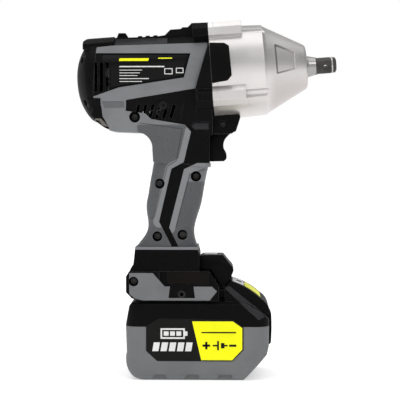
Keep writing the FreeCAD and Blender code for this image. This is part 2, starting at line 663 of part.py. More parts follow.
def inside():
    """Everything hollow in the plastic body."""
    spaces = [barrel_form(WALL, SEAM_U + 5), belly_form(WALL), grip_form(WALL), ridge_form(WALL),
              box(-48, -1, -19, 19, 94, 113), box(-48, 11, -31, 31, 86.4, 95.4), channel(), trigger_bay()]
    return fused(spaces)


def trigger_bay():
    """The opening that the trigger travels in."""
    half = TRIGGER_HALF + 0.35
    return box(12 - TRIGGER_TRAVEL - 1.5, 40, -half, half, 197.35, 222.3)


def boss(x, z, radius):
    return rod(x, z, radius, -60, 60)


def screw_holes(right):
    """Clearance for the housing screws; the heads' recesses are on the right side only."""
    tools = [rod(x, z, SCREW_SHANK_R + 0.1, seat - 1, SCREW_TIP_Y + 0.5) for x, z, _, seat in SCREWS.values()]
    if right:
        tools += [rod(x, z, recess, -60, seat) for x, z, recess, seat in SCREWS.values()]
    return fused(tools)


def housing_screws():
    screws = []
    for x, z, _, seat in SCREWS.values():
        head = rod(x, z, SCREW_HEAD_R, seat - SCREW_HEAD_T, seat).cut(rod(x, z, 1.5, seat - 4, seat - 1))
        screws.append(head.fuse(rod(x, z, SCREW_SHANK_R, seat, SCREW_TIP_Y)))
    return screws


def cover_bosses():
    return [on_head(disc(-99, -78, 4.6, y, w)) for y, w in COVER_SCREWS]


def cover_screws():
    screws = []
    for y, w in COVER_SCREWS:
        head = disc(-98.6, -96, 3.2, y, w).cut(disc(-99, -97.2, 1.4, y, w))
        screws.append(on_head(head.fuse(disc(-96, -79, 1.6, y, w))))
    return screws


def cover_screw_holes():
    tools = []
    for y, w in COVER_SCREWS:
        tools += [on_head(disc(-120, -96, 3.8, y, w)), on_head(disc(-97, -78.8, 1.7, y, w))]
    return fused(tools)


def body_shell(outer):
    """Walls, bosses and motor ribs of the whole plastic body, before it is split."""
    shell = outer.cut(inside())
    ribs = fused([on_head(ring(u, u + 3, BARREL_R, STATOR_R + 0.05)) for u in (STATOR_U[0] + 3, STATOR_U[1] - 6)])
    deep = layer(SKIN + 0.4)
    bosses = fused([boss(x, z, recess + SCREW_WALL) for x, z, recess, _ in SCREWS.values()])
    return shell.multiFuse([ribs.common(deep), bosses.common(outer)] + [b.common(deep) for b in cover_bosses()])


def rear_cover(outer):
    """Domed rear cover with the rear bearing's seat and four screw towers."""
    region = prism(REAR_CUT, -60, 60)
    u1 = -101 + REAR_BEARING[2]
    seat = on_head(disc(REAR_U + 2, u1, REAR_BEARING[0] + 2.5))
    walls = fused([outer, rear_block_form()]).cut(barrel_form(WALL - 1, SEAM_U)).cut(belly_form(WALL))
    parts = [walls, seat] + [b.common(layer(0)) for b in cover_bosses()]
    body = fused(parts).common(region).cut(cover_screw_holes())
    body = body.cut(on_head(disc(-101, u1 + 1, REAR_BEARING[0])))
    return body.cut(on_head(disc(-102, -100, REAR_BEARING[1] + 1)))


def right_side(shell, frame, front):
    """The right half of the housing, with its vents, openings and seats."""
    body = right_half(shell).cut(prism(REAR_CUT, -60, 60)).cut(frame).cut(front).cut(vents())
    body = body.cut(on_head(disc(SEAM_U, 90, CASE_R + 0.05))).cut(cover_screw_holes())
    body = body.cut(on_head(disc(*STATOR_U, STATOR_R + 0.05))).cut(ridge_slots())
    for y, w, _ in LUGS:
        body = body.cut(on_head(disc(LUG_REAR_U + 1.5, SEAM_U + 1, LUG_SCREW_R + RUN, y, w)))
    body = body.cut(shrunk(BUTTON, -SLIDE, -40, 1)).cut(prism(LENS, -10, 1))
    return body


# ---------------------------------------------------------------- controls
def trigger():
    """Trigger blade with the stem that works the switch."""
    blade = prism(TRIGGER, -TRIGGER_HALF, TRIGGER_HALF)
    stem = Part.makeCylinder(2, 17.5, V(-5, 0, 210), V(1, 0, 0))
    return blade.fuse(stem)


def switch_module():
    body = box(-25, -4, -10.8, 10.8, 197, 221)
    return body.cut(Part.makeCylinder(2 + RUN, 13, V(-16, 0, 210), V(1, 0, 0)))


def mode_panel():
    """Light and mode panel on the front of the foot, with the button's pocket."""
    body = prism(PANEL, -PANEL_HALF, PANEL_HALF)
    body = body.common(mirrored_front([(-PANEL_HALF + 6, 113), (-PANEL_HALF, 104), (-PANEL_HALF, 80)], 0, 50))
    return body.cut(box(8.8, 21.8, -6.2, 6.2, 108 - MODE_TRAVEL, 113))


def foot_plate():
    """Right grey foot plate, open round the belt hook's socket and the foot screw."""
    body = prism(FOOT_PLATE, -PLATE_OUT, -FOOT_HALF).cut(prism(HOOK_POCKET, -PLATE_OUT - 1, -FOOT_HALF + 1))
    x, z, recess, _ = SCREWS["foot"]
    return body.cut(rod(x, z, recess, -50, -30))


def hook_inserts():
    """Tapped brass inserts for a belt hook, one on each side."""
    x, z = HOOK_AT
    insert = rod(x, z, 3.3, -FOOT_HALF, -27).cut(rod(x, z, HOOK_BORE_R, -40, -20))
    return [insert, mirrored(insert)]


def terminal_block():
    body = box(-56, RAIL_X[0] - 0.4, -20, 20, 74.5, 83)
    blades = [box(RAIL_X[0] - 1, RAIL_X[0] + 8, y - 0.4, y + 0.4, 75.6, 80.4) for y in (-14, -5, 5, 14)]
    return fused([body] + blades)


# ---------------------------------------------------------------- battery
GAUGE_AT = (41.6, 0)
RELEASE = [(61, 30.5), (68, 28), (70.9, 30.3), (71.6, 44, 71.1, 58.6), (69.4, 60.4), (61, 58.4)]
RELEASE_HALF = 13.0
CELL_X0 = -36.0
CELL_Z = (13.0, 32.4)


def plan(inset):
    """The battery's outline from above, with rounded corners."""
    corner = 13 - inset
    x0, x1, y1 = -62 + inset, 69 - inset, BATTERY_HALF - inset
    block = box(x0, x1, -y1, y1, -1, 100)
    return block.makeFillet(corner, [e for e in block.Edges if abs(e.tangentAt(e.FirstParameter).z) > 0.9])


def battery_lower_case():
    body = prism(BATTERY_LOWER, -40, 40).common(plan(0)).common(
        mirrored_front([(-BATTERY_HALF, 60), (-BATTERY_HALF, 3.4), (-BATTERY_HALF + 3.4, 0)], -80, 80))
    hollow = shrunk(BATTERY_LOWER, CASE_WALL, -40, 40).fuse(box(-59, 66, -40, 40, 40, 50)).common(plan(CASE_WALL))
    body = body.cut(hollow).cut(release_pocket())
    for x0, x1 in ((-36.3, -24.5), (-7.1, 5.8), (22.3, 35.6)):
        notch = prism([(x0, -1), (x0, 3.4), (x0 + 1.8, 5.3), (x1 - 1.8, 5.3), (x1, 3.4), (x1, -1)], -40, -37)
        body = body.cut(notch).cut(mirrored(notch))
    blank = prism(BATTERY_LOWER, -40, 40)
    posts = [Part.makeCylinder(4.4, BATTERY_SPLIT_Z - 1, V(x, y, 1)).common(blank) for x, y, _ in BATTERY_SCREWS]
    body = fused([body] + posts)
    for x, y, seat in BATTERY_SCREWS:
        body = body.cut(Part.makeCylinder(3.2, seat + 1, V(x, y, -1))).cut(Part.makeCylinder(1.7, 80, V(x, y, -1)))
    return body


BATTERY_SCREWS = [(x, y, seat) for x, seat in ((-51.5, 7), (57, 20)) for y in (-30.5, 30.5)]


def release_pocket():
    """The window for the release button, with room for its travel."""
    half = RELEASE_HALF + SLIDE
    window = shrunk(RELEASE, -SLIDE, -half, half)
    steps = int(RELEASE_TRAVEL / 0.5) + 1
    track = []
    for step in range(steps + 1):
        cut = window.copy()
        cut.translate(V(-0.5 * step, 0, 0))
        track.append(cut)
    return fused(track)


def hump():
    """The raised front of the battery, with sides that lean in upwards."""
    body = prism(HUMP, -34, 34).common(mirrored_front([(-22, 92), (-31.5, 76), (-33.5, 58)], 0, 80))
    return body.cut(box(20, 34, -PANEL_HALF - 0.6, PANEL_HALF + 0.6, BATTERY_TOP_Z, 100))


def gauge_slot(inset, half):
    """A strip of the hump's crown, sunk 1.2 mm."""
    skin = prism(HUMP, -half, half).cut(shrunk(HUMP, 1.2, -half, half))
    return skin.common(box(36 + inset, 47 - inset, -half, half, 70, 100))


def gauge_rod(radius, low, high):
    """A cylinder square to the gauge strip, between two depths below its surface."""
    lean = math.atan2(88.6 - 82.4, 49 - 34.5)
    axis = V(math.sin(lean), 0, math.cos(lean))
    foot = V(GAUGE_AT[0], GAUGE_AT[1], 85.95) - axis * low
    return Part.makeCylinder(radius, low - high, foot, axis)


def battery_upper_case():
    top = mirrored_front([(-BATTERY_HALF + 5, BATTERY_TOP_Z), (-BATTERY_HALF + 1.4, 68.6), (-BATTERY_HALF, 65),
                          (-BATTERY_HALF, 40)], -80, 80)
    body = prism(BATTERY_UPPER, -40, 40).common(plan(0)).common(top)
    rail = fused([box(*RAIL_X, -RAIL_NECK_HALF, RAIL_NECK_HALF, BATTERY_TOP_Z - 1, RAIL_LIP_Z),
                  box(*RAIL_X, -RAIL_HALF, RAIL_HALF, RAIL_LIP_Z, RAIL_TOP_Z)])
    hollow = box(-58, 65, -36, 36, BATTERY_SPLIT_Z - 1, 66.5).common(plan(CASE_WALL)).common(
        shrunk(BATTERY_UPPER, CASE_WALL, -40, 40).fuse(box(-58, 65, -40, 40, 47, 54)))
    post = box(50, 54, -6, 6, BATTERY_SPLIT_Z, 68)
    body = fused([body, rail, hump()]).cut(hollow).fuse(post).cut(release_pocket())
    for y in (-14, -5, 5, 14):
        body = body.cut(box(RAIL_X[0] - 1, -28, y - 1.6, y + 1.6, 60, 80.8))
    body = body.cut(gauge_slot(0, 6.3)).cut(gauge_rod(2.9, 5, -2))
    for x, y, _ in BATTERY_SCREWS:
        tower = Part.makeCylinder(4.4, 22, V(x, y, BATTERY_SPLIT_Z)).common(prism(BATTERY_UPPER, -40, 40))
        body = body.fuse(tower).cut(Part.makeCylinder(1.7, 14, V(x, y, BATTERY_SPLIT_Z - 1)))
    return body.removeSplitter()


def battery_cells():
    return [rod(CELL_X0 + CELL_PITCH * index, z, CELL_R, -CELL_LENGTH / 2, CELL_LENGTH / 2)
            for z in CELL_Z for index in range(5)]


def cell_holder():
    """Two plates that carry the cells' ends, tied by a bridge on top that carries the board."""
    x0, x1 = CELL_X0 - 10.4, CELL_X0 + 4 * CELL_PITCH + 10.4
    plates = [box(x0, x1, y0, y0 + 8, 2.6, 43.6) for y0 in (-31, 23)]
    body = fused(plates + [box(x0, x1, -31, 31, 42, 43.6)])
    for cell in battery_cells():
        centre = cell.BoundBox.Center
        body = body.cut(rod(centre.x, centre.z, CELL_R + CELL_SLIP, -40, 40))
    return biggest(body.common(shrunk(BATTERY_LOWER, CASE_WALL + 0.2, -40, 40)))


def battery_board():
    """Board on the cell holder, with the four receptacles that grip the tool's blades."""
    parts = [box(-42, 40, -22, 22, 43.6, 45.4)]
    for y in (-14, -5, 5, 14):
        parts.append(box(-37, -29, y - 1.4, y + 1.4, 45, 79))
        parts.append(box(-37.6, -37, y - 1.4, y - 0.7, 75.4, 79))
    return fused(parts)


def battery_screws():
    screws = []
    for x, y, seat in BATTERY_SCREWS:
        head = Part.makeCylinder(3, 2.4, V(x, y, seat - 2.4)).cut(Part.makeCylinder(1.3, 1.4, V(x, y, seat - 2.6)))
        screws.append(head.fuse(Part.makeCylinder(1.6, BATTERY_SPLIT_Z + 11 - seat, V(x, y, seat))))
    return screws


# ---------------------------------------------------------------- build
def build():
    os.makedirs("parts", exist_ok=True)
    flange_end = SEAM_U + PLATE_T

    save("hammer_case", hammer_case())
    save("nose_bush", on_head(ring(78, 99.8, BUSH_R, SHANK_R + RUN)))
    save("nose_seal", on_head(ring(100, 103, BUSH_R, SHANK_R + RUN)))
    save("anvil", on_head(anvil()))
    save("friction_ring", on_head(friction_ring()))
    save("thrust_washer", on_head(ring(76.2, 78, 24, SHANK_R + 0.3)))
    save("hammer", on_head(hammer()))
    save("cam_balls", *[on_head(ball) for ball in cam_balls()])
    spring = coil_spring(60.5 - WASHER_U[1], SPRING_COIL_R, SPRING_WIRE_R, 4.5)
    spring.translate(V(WASHER_U[1], 0, 0))
    save("hammer_spring", on_head(spring))
    save("spring_washer", on_head(ring(*WASHER_U, CARRIER_R + 0.6, SPINDLE_R)))
    save("spindle", on_head(spindle()))
    save("planet_pins", *[on_head(pin) for pin in planet_pins()])
    for index in range(PLANETS):
        save(f"planet_gear_{index + 1}", on_head(planet_gear(index)))
    save("ring_gear", on_head(ring_gear()))
    save("gearbox_plate", gearbox_plate())
    save("spindle_bearing", bearing(flange_end - BEARING_W, BEARING_W, BEARING_OUT_R, BEARING_IN_R))
    save("case_screws", *case_screws())

    save("rotor_shaft", rotor_shaft())
    save("rotor_core", rotor_core())
    save("stator_core", stator_core())
    save("stator_coils", *stator_coils())
    save("hall_board", hall_board())
    save("cooling_fan", cooling_fan())
    save("front_motor_bearing", bearing(-1, FRONT_BEARING[2], FRONT_BEARING[0], FRONT_BEARING[1]))
    save("rear_motor_bearing", bearing(-101, REAR_BEARING[2], REAR_BEARING[0], REAR_BEARING[1]))

    body = layer(0)
    blocks = screw_blocks()
    outer = fused([body, ridge_form(0), prism(STUD, -7, 7), foot_form(), blocks])
    skin = layer(-PROUD).cut(layer(SKIN))
    recesses = screw_holes(True)
    front_trim = on_head(disc(SEAM_U, 90, CASE_R + 0.6))
    frame = right_half(skin).common(prism(FRAME, -60, 0).cut(prism(WINDOW, -60, 0)))
    frame = biggest(frame.cut(foot_form()).cut(recesses).cut(front_trim).cut(blocks))
    front = right_half(skin).common(prism(GRIP_FRONT, -60, 0)).cut(foot_form()).cut(recesses)
    front = biggest(front.cut(trigger_bay()))
    save("right_frame", frame)
    save("left_frame", mirrored(frame))
    save("right_grip_front", front)
    save("left_grip_front", mirrored(front))
    shell = body_shell(outer)
    side = right_side(shell, frame, front)
    insert_hole = rod(HOOK_AT[0], HOOK_AT[1], 3.3, -60, -27)
    dial = shrunk(BUTTON, -1.0, -60, 1 - BUTTON_HALF)
    side = side.cut(insert_hole).cut(dial)
    save("right_housing", biggest(side.cut(recesses)))
    save("left_housing", biggest(mirrored(side).cut(screw_holes(False))))
    save("rear_cover", rear_cover(outer))
    save("rear_cover_screws", *cover_screws())
    save("housing_screws", *housing_screws())
    guard = on_head(ring(SEAM_U + 0.3, 60, CASE_R + 1.8, CASE_R + 0.05)).common(prism(GUARD, -60, -20))
    save("right_case_guard", guard)
    save("left_case_guard", mirrored(guard))

    save("trigger", trigger())
    pusher = coil_spring(16, 4, 0.5, 6)
    pusher.translate(V(-4, 0, 210))
    save("trigger_spring", pusher)
    save("switch_module", switch_module())
    save("direction_button", prism(BUTTON, -BUTTON_HALF, BUTTON_HALF))
    save("work_light", prism(LENS, -10, 10))
    save("mode_panel", mode_panel())
    save("mode_button", box(9.1, 21.5, -5.9, 5.9, 108, 112.7))
    save("control_board", box(-46, 10, -27, 27, 86.4, 92.4))
    save("terminal_block", terminal_block())
    save("right_foot_plate", foot_plate())
    save("left_foot_plate", mirrored(foot_plate()))
    save("hook_inserts", *hook_inserts())

    save("battery_lower_case", battery_lower_case())
    save("battery_upper_case", battery_upper_case())
    save("battery_cells", *battery_cells())
    save("cell_holder", cell_holder())
    save("battery_board", battery_board())
    save("release_button", prism(RELEASE, -RELEASE_HALF, RELEASE_HALF))
    catch = coil_spring(7, 3.2, 0.5, 4)
    catch.translate(V(54, 0, 53))
    save("release_spring", catch)
    save("gauge_window", gauge_slot(0.1, 6.2).cut(gauge_rod(2.9, 5, -2)))
    save("gauge_button", gauge_rod(2.6, 3, -0.8))
    save("battery_screws", *battery_screws())


build()
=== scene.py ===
"""Finishes and small details of the cordless impact wrench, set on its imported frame. Metres.

Sizes below are written in millimetres and turned into metres with MM. The right side is -Y.
"""

import json
import math

import bmesh
import bpy
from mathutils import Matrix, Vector
from mathutils.bvhtree import BVHTree

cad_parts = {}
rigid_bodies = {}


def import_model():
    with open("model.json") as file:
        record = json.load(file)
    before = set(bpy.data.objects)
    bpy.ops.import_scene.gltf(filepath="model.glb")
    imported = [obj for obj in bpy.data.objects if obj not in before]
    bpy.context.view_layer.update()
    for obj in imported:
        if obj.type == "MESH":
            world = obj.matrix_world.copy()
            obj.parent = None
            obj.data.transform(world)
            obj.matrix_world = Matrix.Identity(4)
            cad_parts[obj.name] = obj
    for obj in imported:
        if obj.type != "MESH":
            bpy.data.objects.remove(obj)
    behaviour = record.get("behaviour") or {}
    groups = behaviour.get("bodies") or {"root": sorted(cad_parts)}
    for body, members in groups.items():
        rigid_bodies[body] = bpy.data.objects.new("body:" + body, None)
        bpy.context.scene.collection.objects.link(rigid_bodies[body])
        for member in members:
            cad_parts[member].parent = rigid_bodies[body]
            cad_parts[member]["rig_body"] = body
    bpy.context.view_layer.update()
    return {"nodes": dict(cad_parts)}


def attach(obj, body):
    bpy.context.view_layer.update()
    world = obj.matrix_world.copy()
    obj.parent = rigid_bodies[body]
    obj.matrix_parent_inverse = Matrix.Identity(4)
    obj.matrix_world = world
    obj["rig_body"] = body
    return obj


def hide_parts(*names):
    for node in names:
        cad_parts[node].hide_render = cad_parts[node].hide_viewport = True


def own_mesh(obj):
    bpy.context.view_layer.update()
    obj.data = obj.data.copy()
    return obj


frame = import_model()

MM = 0.001
HEAD_HEIGHT = 277.7
HEAD_LEAN = math.radians(4.2)


def at_head(u, y, w):
    """A point in the leaning head's own frame (forward, across, up), in millimetres, set on the tool."""
    c, s = math.cos(HEAD_LEAN), math.sin(HEAD_LEAN)
    return Vector((u * c - w * s, y, HEAD_HEIGHT + u * s + w * c)) * MM


# ---------------------------------------------------------------- finishes
class Signal:
    """A value in a finish. Sums written on it add the Math nodes they need."""

    def __init__(self, finish, socket):
        self.finish = finish
        self.socket = socket

    def worked(self, operation, *values):
        inputs = dict(enumerate(values))
        return self.finish.node("ShaderNodeMath", {"operation": operation}, inputs)

    def __add__(self, other):
        return self.worked("ADD", self, other)

    def __radd__(self, other):
        return self.worked("ADD", other, self)

    def __sub__(self, other):
        return self.worked("SUBTRACT", self, other)

    def __rsub__(self, other):
        return self.worked("SUBTRACT", other, self)

    def __mul__(self, other):
        return self.worked("MULTIPLY", self, other)

    def __rmul__(self, other):
        return self.worked("MULTIPLY", other, self)

    def __truediv__(self, other):
        return self.worked("DIVIDE", self, other)

    def __rtruediv__(self, other):
        return self.worked("DIVIDE", other, self)

    def __pow__(self, other):
        return self.worked("POWER", self, other)

    def __abs__(self):
        return self.worked("ABSOLUTE", self)

    def least(self, other):
        return self.worked("MINIMUM", self, other)

    def most(self, other):
        return self.worked("MAXIMUM", self, other)


class Finish:
    """A material, built up from its own nodes."""

    def __init__(self, name, **constants):
        self.material = bpy.data.materials.new(name)
        self.material.use_nodes = True
        self.tree = self.material.node_tree
        self.tree.nodes.clear()
        self.skin = self.tree.nodes.new("ShaderNodeBsdfPrincipled")
        output = self.tree.nodes.new("ShaderNodeOutputMaterial")
        self.tree.links.new(self.skin.outputs[0], output.inputs[0])
        for socket, value in constants.items():
            self.skin.inputs[socket.replace("_", " ")].default_value = value
        self.point = self.node("ShaderNodeTexCoord", output="Object")

    def feed(self, socket, value):
        if isinstance(value, Signal):
            self.tree.links.new(value.socket, socket)
        elif isinstance(value, (tuple, list)) and len(value) == 3 and socket.type == "RGBA":
            socket.default_value = (*value, 1.0)
        else:
            socket.default_value = value

    def node(self, kind, settings=None, inputs=None, output=0):
        """Any node: its settings first, then the values or links of its sockets."""
        made = self.tree.nodes.new(kind)
        for key, value in (settings or {}).items():
            setattr(made, key, value)
        for key, value in (inputs or {}).items():
            self.feed(made.inputs[key], value)
        return Signal(self, made.outputs[output])

    def shape(self, **links):
        """Join what varies over the surface to the skin's sockets."""
        for socket, value in links.items():
            self.feed(self.skin.inputs[socket.replace("_", " ")], value)
        return self

    def noise(self, scale, detail=2.0, rough=0.5, stretch=None):
        place = self.point
        if stretch:
            place = self.node("ShaderNodeMapping", None, {"Vector": self.point, "Scale": stretch})
        return self.node("ShaderNodeTexNoise", None, {"Vector": place, "Scale": scale, "Detail": detail,
                                                      "Roughness": rough})

    def ramp(self, value, low, high, out_low=0.0, out_high=1.0):
        """Soft step from out_low to out_high as the value goes from low to high."""
        return self.node("ShaderNodeMapRange", {"interpolation_type": "SMOOTHSTEP"},
                         {0: value, 1: low, 2: high, 3: out_low, 4: out_high})

    def blend(self, factor, a, b):
        return self.node("ShaderNodeMix", {"data_type": "RGBA"}, {0: factor, 6: a, 7: b}, 2)

    def axes(self):
        part = self.node("ShaderNodeSeparateXYZ", None, {0: self.point})
        made = part.socket.node
        return [Signal(self, made.outputs[i]) for i in range(3)]

    def rounded(self, radius):
        """The surface's direction with its edges eased, and a mask of where the edges are."""
        eased = self.node("ShaderNodeBevel", {"samples": 4}, {"Radius": radius * MM})
        true = self.node("ShaderNodeNewGeometry", output="Normal")
        along = self.node("ShaderNodeVectorMath", {"operation": "DOT_PRODUCT"}, {0: eased, 1: true}, "Value")
        return eased, self.ramp(1 - along, 0.02, 0.22)

    def bump(self, height, depth, normal=None):
        """Relief: the height runs from 0 to 1 and stands for the depth in millimetres."""
        inputs = {"Strength": 1.0, "Distance": depth * MM, "Height": height}
        if normal:
            inputs["Normal"] = normal
        return self.node("ShaderNodeBump", None, inputs)

    def near(self, points):
        """Distance in metres, in the side view, to a line through (X, Z) points in millimetres."""
        flat = self.node("ShaderNodeVectorMath", {"operation": "MULTIPLY"}, {0: self.point, 1: (1, 0, 1)})
        nearest = None
        for (x0, z0), (x1, z1) in zip(points, points[1:]):
            start = Vector((x0, 0, z0)) * MM
            run = Vector((x1 - x0, 0, z1 - z0)) * MM
            offset = self.node("ShaderNodeVectorMath", {"operation": "SUBTRACT"}, {0: flat, 1: tuple(start)})
            share = self.node("ShaderNodeVectorMath", {"operation": "DOT_PRODUCT"},
                              {0: offset, 1: tuple(run / run.length_squared)}, "Value")
            share = self.node("ShaderNodeClamp", None, {0: share})
            foot = self.node("ShaderNodeVectorMath", {"operation": "SCALE"}, {0: tuple(run), "Scale": share})
            apart = self.node("ShaderNodeVectorMath", {"operation": "DISTANCE"}, {0: offset, 1: foot}, "Value")
            nearest = apart if nearest is None else nearest.least(apart)
        return nearest


def srgb(*values):
    """Linear colour from 0-255 display values."""
    return tuple(v / 255 / 12.92 if v <= 10 else ((v / 255 + 0.055) / 1.055) ** 2.4 for v in values)


def moulded(name, colour, edge, rough, grain, depth=0.05, lip=None, **constants):
    """Spark-textured plastic: fine grain, faint mottling, rubbed edges lightened partly by wear and partly as painted
    highlight, and a grey lip between two heights.
    """
    finish = Finish(name, **{"Specular_IOR_Level": 0.13, **constants})
    eased, edges = finish.rounded(0.55)
    fine = finish.noise(grain, 3.0, 0.6)
    broad = finish.noise(38, 3.0, 0.55)
    rub_and_sheen = finish.noise(210, 3.0, 0.6)
    colour = finish.blend(finish.ramp(broad, 0.3, 0.7), [c * 0.93 for c in colour], [c * 1.06 for c in colour])
    colour = finish.blend(finish.ramp(fine, 0.35, 0.7, 0, 0.06), colour, edge)
    # edge tone: partly wear, partly painted highlight on the eased edges
    colour = finish.blend(edges * finish.ramp(rub_and_sheen, 0.35, 0.65, 0.4, 1), colour, edge)
    if lip:
        height = finish.axes()[2]
        low, high = lip[0] * MM, lip[1] * MM
        within = finish.ramp(height, low, low + 0.0002) * finish.ramp(height, high, high - 0.0001)
        colour = finish.blend(within, colour, srgb(124, 125, 128))
    level = finish.ramp(fine, 0.3, 0.7, rough + 0.06, rough - 0.05) - edges * 0.08
    finish.shape(Base_Color=colour, Roughness=level, Normal=finish.bump(fine, depth, eased))
    return finish


def metal(name, colour, rough, grain, depth=0.02, brushed=None, mottled=0.06, stain=None, **constants):
    """Bare metal: grain or turning marks, small changes of tone, brighter worn edges."""
    finish = Finish(name, Metallic=1.0, **constants)
    eased, edges = finish.rounded(0.4)
    fine = finish.noise(grain, 3.0, 0.6, brushed)
    broad = finish.noise(45, 3.0, 0.6)
    dark = stain or [c * (1 - 2 * mottled) for c in colour]
    tone = finish.blend(finish.ramp(broad, 0.3, 0.7), dark, colour)
    tone = finish.blend(edges * 0.6, tone, [min(1, c * 1.25 + 0.02) for c in colour])
    finish.shape(Base_Color=tone, Roughness=finish.ramp(fine, 0.3, 0.7, rough - 0.05, rough + 0.07),
                 Normal=finish.bump(fine, depth, eased))
    return finish


GREY_LIGHT = srgb(140, 141, 144)
BLACK = srgb(3, 3, 3)
# edge tone for the black mouldings: partly wear, partly painted highlight
BLACK_WEAR_AND_HIGHLIGHT = srgb(92, 91, 92)
MATT = {"Specular_IOR_Level": 0.05}
YELLOW = srgb(250, 250, 12)


def grey_housing(name, seam, crease, shade, stipple_below):
    """Grey second moulding: a light border along its seam, a fine crease darkened by painted shade, a darker panel, a
    stippled grip, edges lightened partly by wear and partly as painted highlight.
    """
    finish = Finish(name, Specular_IOR_Level=0.16)
    eased, edges = finish.rounded(0.55)
    fine = finish.noise(2300, 3.0, 0.6)
    broad = finish.noise(30, 3.0, 0.55)
    border = finish.ramp(finish.near(seam), 0.0052, 0.0058, 1, 0)
    line = finish.ramp(finish.near(crease), 0.0001, 0.0005, 1, 0)
    x, _, z = finish.axes()
    gripped = finish.ramp(z, stipple_below * MM, (stipple_below - 1.5) * MM) * (1 - border)
    gripped = gripped * finish.ramp(x, -0.0525, -0.0505).most(finish.ramp(z, 0.2245, 0.2225))
    pimples = finish.ramp(finish.noise(1500, 2.0, 0.7), 0.36, 0.6)
    colour = finish.blend(finish.ramp(broad, 0.3, 0.7), srgb(*shade[0]), srgb(*shade[1]))
    colour = finish.blend(border, colour, srgb(126, 127, 129))
    colour = finish.blend(finish.ramp(fine, 0.4, 0.7, 0, 0.16), colour, GREY_LIGHT)
    colour = finish.blend(gripped * 0.7, colour, srgb(84, 85, 87))
    colour = finish.blend(pimples * gripped * 0.4, colour, srgb(58, 59, 62))
    # edges lighter: partly wear, partly painted highlight
    colour = finish.blend(edges * 0.6, colour, srgb(150, 151, 154))
    # painted shade in the crease; the bump below gives its groove
    colour = finish.blend(line * 0.7, colour, srgb(62, 63, 66))
    relief = finish.bump(1 - line, 0.35, eased)
    relief = finish.bump(1 - pimples * gripped, 0.1, relief)
    finish.shape(Base_Color=colour, Roughness=finish.ramp(fine, 0.3, 0.7, 0.56, 0.44),
                 Normal=finish.bump(fine, 0.04, relief))
    return finish.material


REAR_SEAM = [(-2.6, 225), (-9.3, 197.1), (-20.6, 191.1), (-32, 142.5)]
REAR_CREASE = [(-48.9, 232.8), (-10.4, 227.5), (-16.1, 198.4), (-24.4, 193.5), (-30, 171.4), (-36.2, 146.9),
               (-40.6, 145.2)]
FRONT_SEAM = [(6, 196.5), (-9, 190.7), (-22.6, 137)]
FRONT_CREASE = [(10, 190.5), (-3.5, 186.3), (-16.5, 137.5)]

grey = grey_housing("grey_moulding", REAR_SEAM, REAR_CREASE, ((112, 113, 115), (121, 122, 124)), 232)
grey_front = grey_housing("grey_grip_moulding", FRONT_SEAM, FRONT_CREASE, ((106, 107, 110), (115, 116, 119)), 180)
grey_case = moulded("grey_battery_shell", srgb(112, 113, 115), srgb(142, 143, 146), 0.48, 2300).material
black = moulded("black_housing", BLACK, BLACK_WEAR_AND_HIGHLIGHT, 0.5, 2100, 0.06, (117.2, 119.85), **MATT).material
black_fine = moulded("black_controls", srgb(5, 5, 5), srgb(62, 62, 64), 0.4, 2900, 0.03, **MATT).material
rubber = moulded("black_rubber_pad", srgb(9, 8, 8), srgb(52, 51, 50), 0.6, 1500, 0.1, **MATT).material
dark_grey = moulded("dark_grey_trim", srgb(42, 42, 44), srgb(84, 85, 88), 0.45, 2200).material
# darker grey for painted shade on the frame and in the battery's bottom notches
grey_shade = moulded("grey_shell_recess", srgb(98, 99, 101), srgb(120, 121, 124), 0.5, 2300).material
dusk = moulded("dark_brown_grey_panel", srgb(19, 15, 15), srgb(60, 56, 55), 0.5, 2000, 0.06, **MATT).material
strut_grey = moulded("dark_grey_strut", srgb(40, 40, 42), srgb(96, 97, 100), 0.42, 2200).material
smoke = moulded("smoke_grey_bumper", srgb(104, 99, 94), srgb(150, 146, 142), 0.4, 1700, 0.08).material
gloss_black = moulded("gloss_black_plate", srgb(9, 9, 9), srgb(34, 34, 34), 0.28, 1200, 0.01).material


def cast_finish():
    """Satin silver casting: fine sandy skin, faint warm clouds, painted shade towards the bottom and on the lower
    nose cone, brighter edges, painted shade in the side recess.
    """
    finish = Finish("satin_silver_casting", Metallic=0.82)
    eased, edges = finish.rounded(0.9)
    fine = finish.noise(1500, 4.0, 0.65)
    broad = finish.noise(22, 2.0, 0.5)
    x, y, z = finish.axes()
    tone = finish.blend(finish.ramp(broad, 0.3, 0.7), (0.53, 0.515, 0.505), (0.62, 0.605, 0.595))
    # painted shade: the case warmer and darker towards the bottom
    tone = finish.blend(finish.ramp(z, 0.29, 0.245, 0, 0.5), tone, (0.56, 0.51, 0.50))
    # painted shade on the lower part of the nose cone
    painted_cone_shade = finish.ramp(x, 0.064, 0.076) * finish.ramp(z, 0.288, 0.262, 0, 0.7)
    tone = finish.blend(painted_cone_shade, tone, (0.38, 0.34, 0.335))
    tone = finish.blend(finish.ramp(fine, 0.35, 0.75, 0, 0.18), tone, (0.95, 0.94, 0.93))
    tone = finish.blend(edges * 0.5, tone, (0.95, 0.94, 0.93))
    # painted shade along the side recess's edges, stronger towards its rear end, on the sides only
    recess = [(91.1, 297.2), (73.5, 303.0), (75.6, 277.0), (91.7, 281.6)]
    painted_recess_shade = finish.ramp(finish.near(recess), 0.0004, 0.0011, 1, 0)
    painted_recess_shade = painted_recess_shade * finish.ramp(x, 0.074, 0.095, 1, 0.35) * finish.ramp(abs(y), 0.02, 0.025)
    tone = finish.blend(painted_recess_shade * 0.75, tone, (0.12, 0.11, 0.11))
    finish.shape(Base_Color=tone, Roughness=finish.ramp(fine, 0.3, 0.7, 0.28, 0.38),
                 Normal=finish.bump(fine, 0.035, eased))
    return finish.material


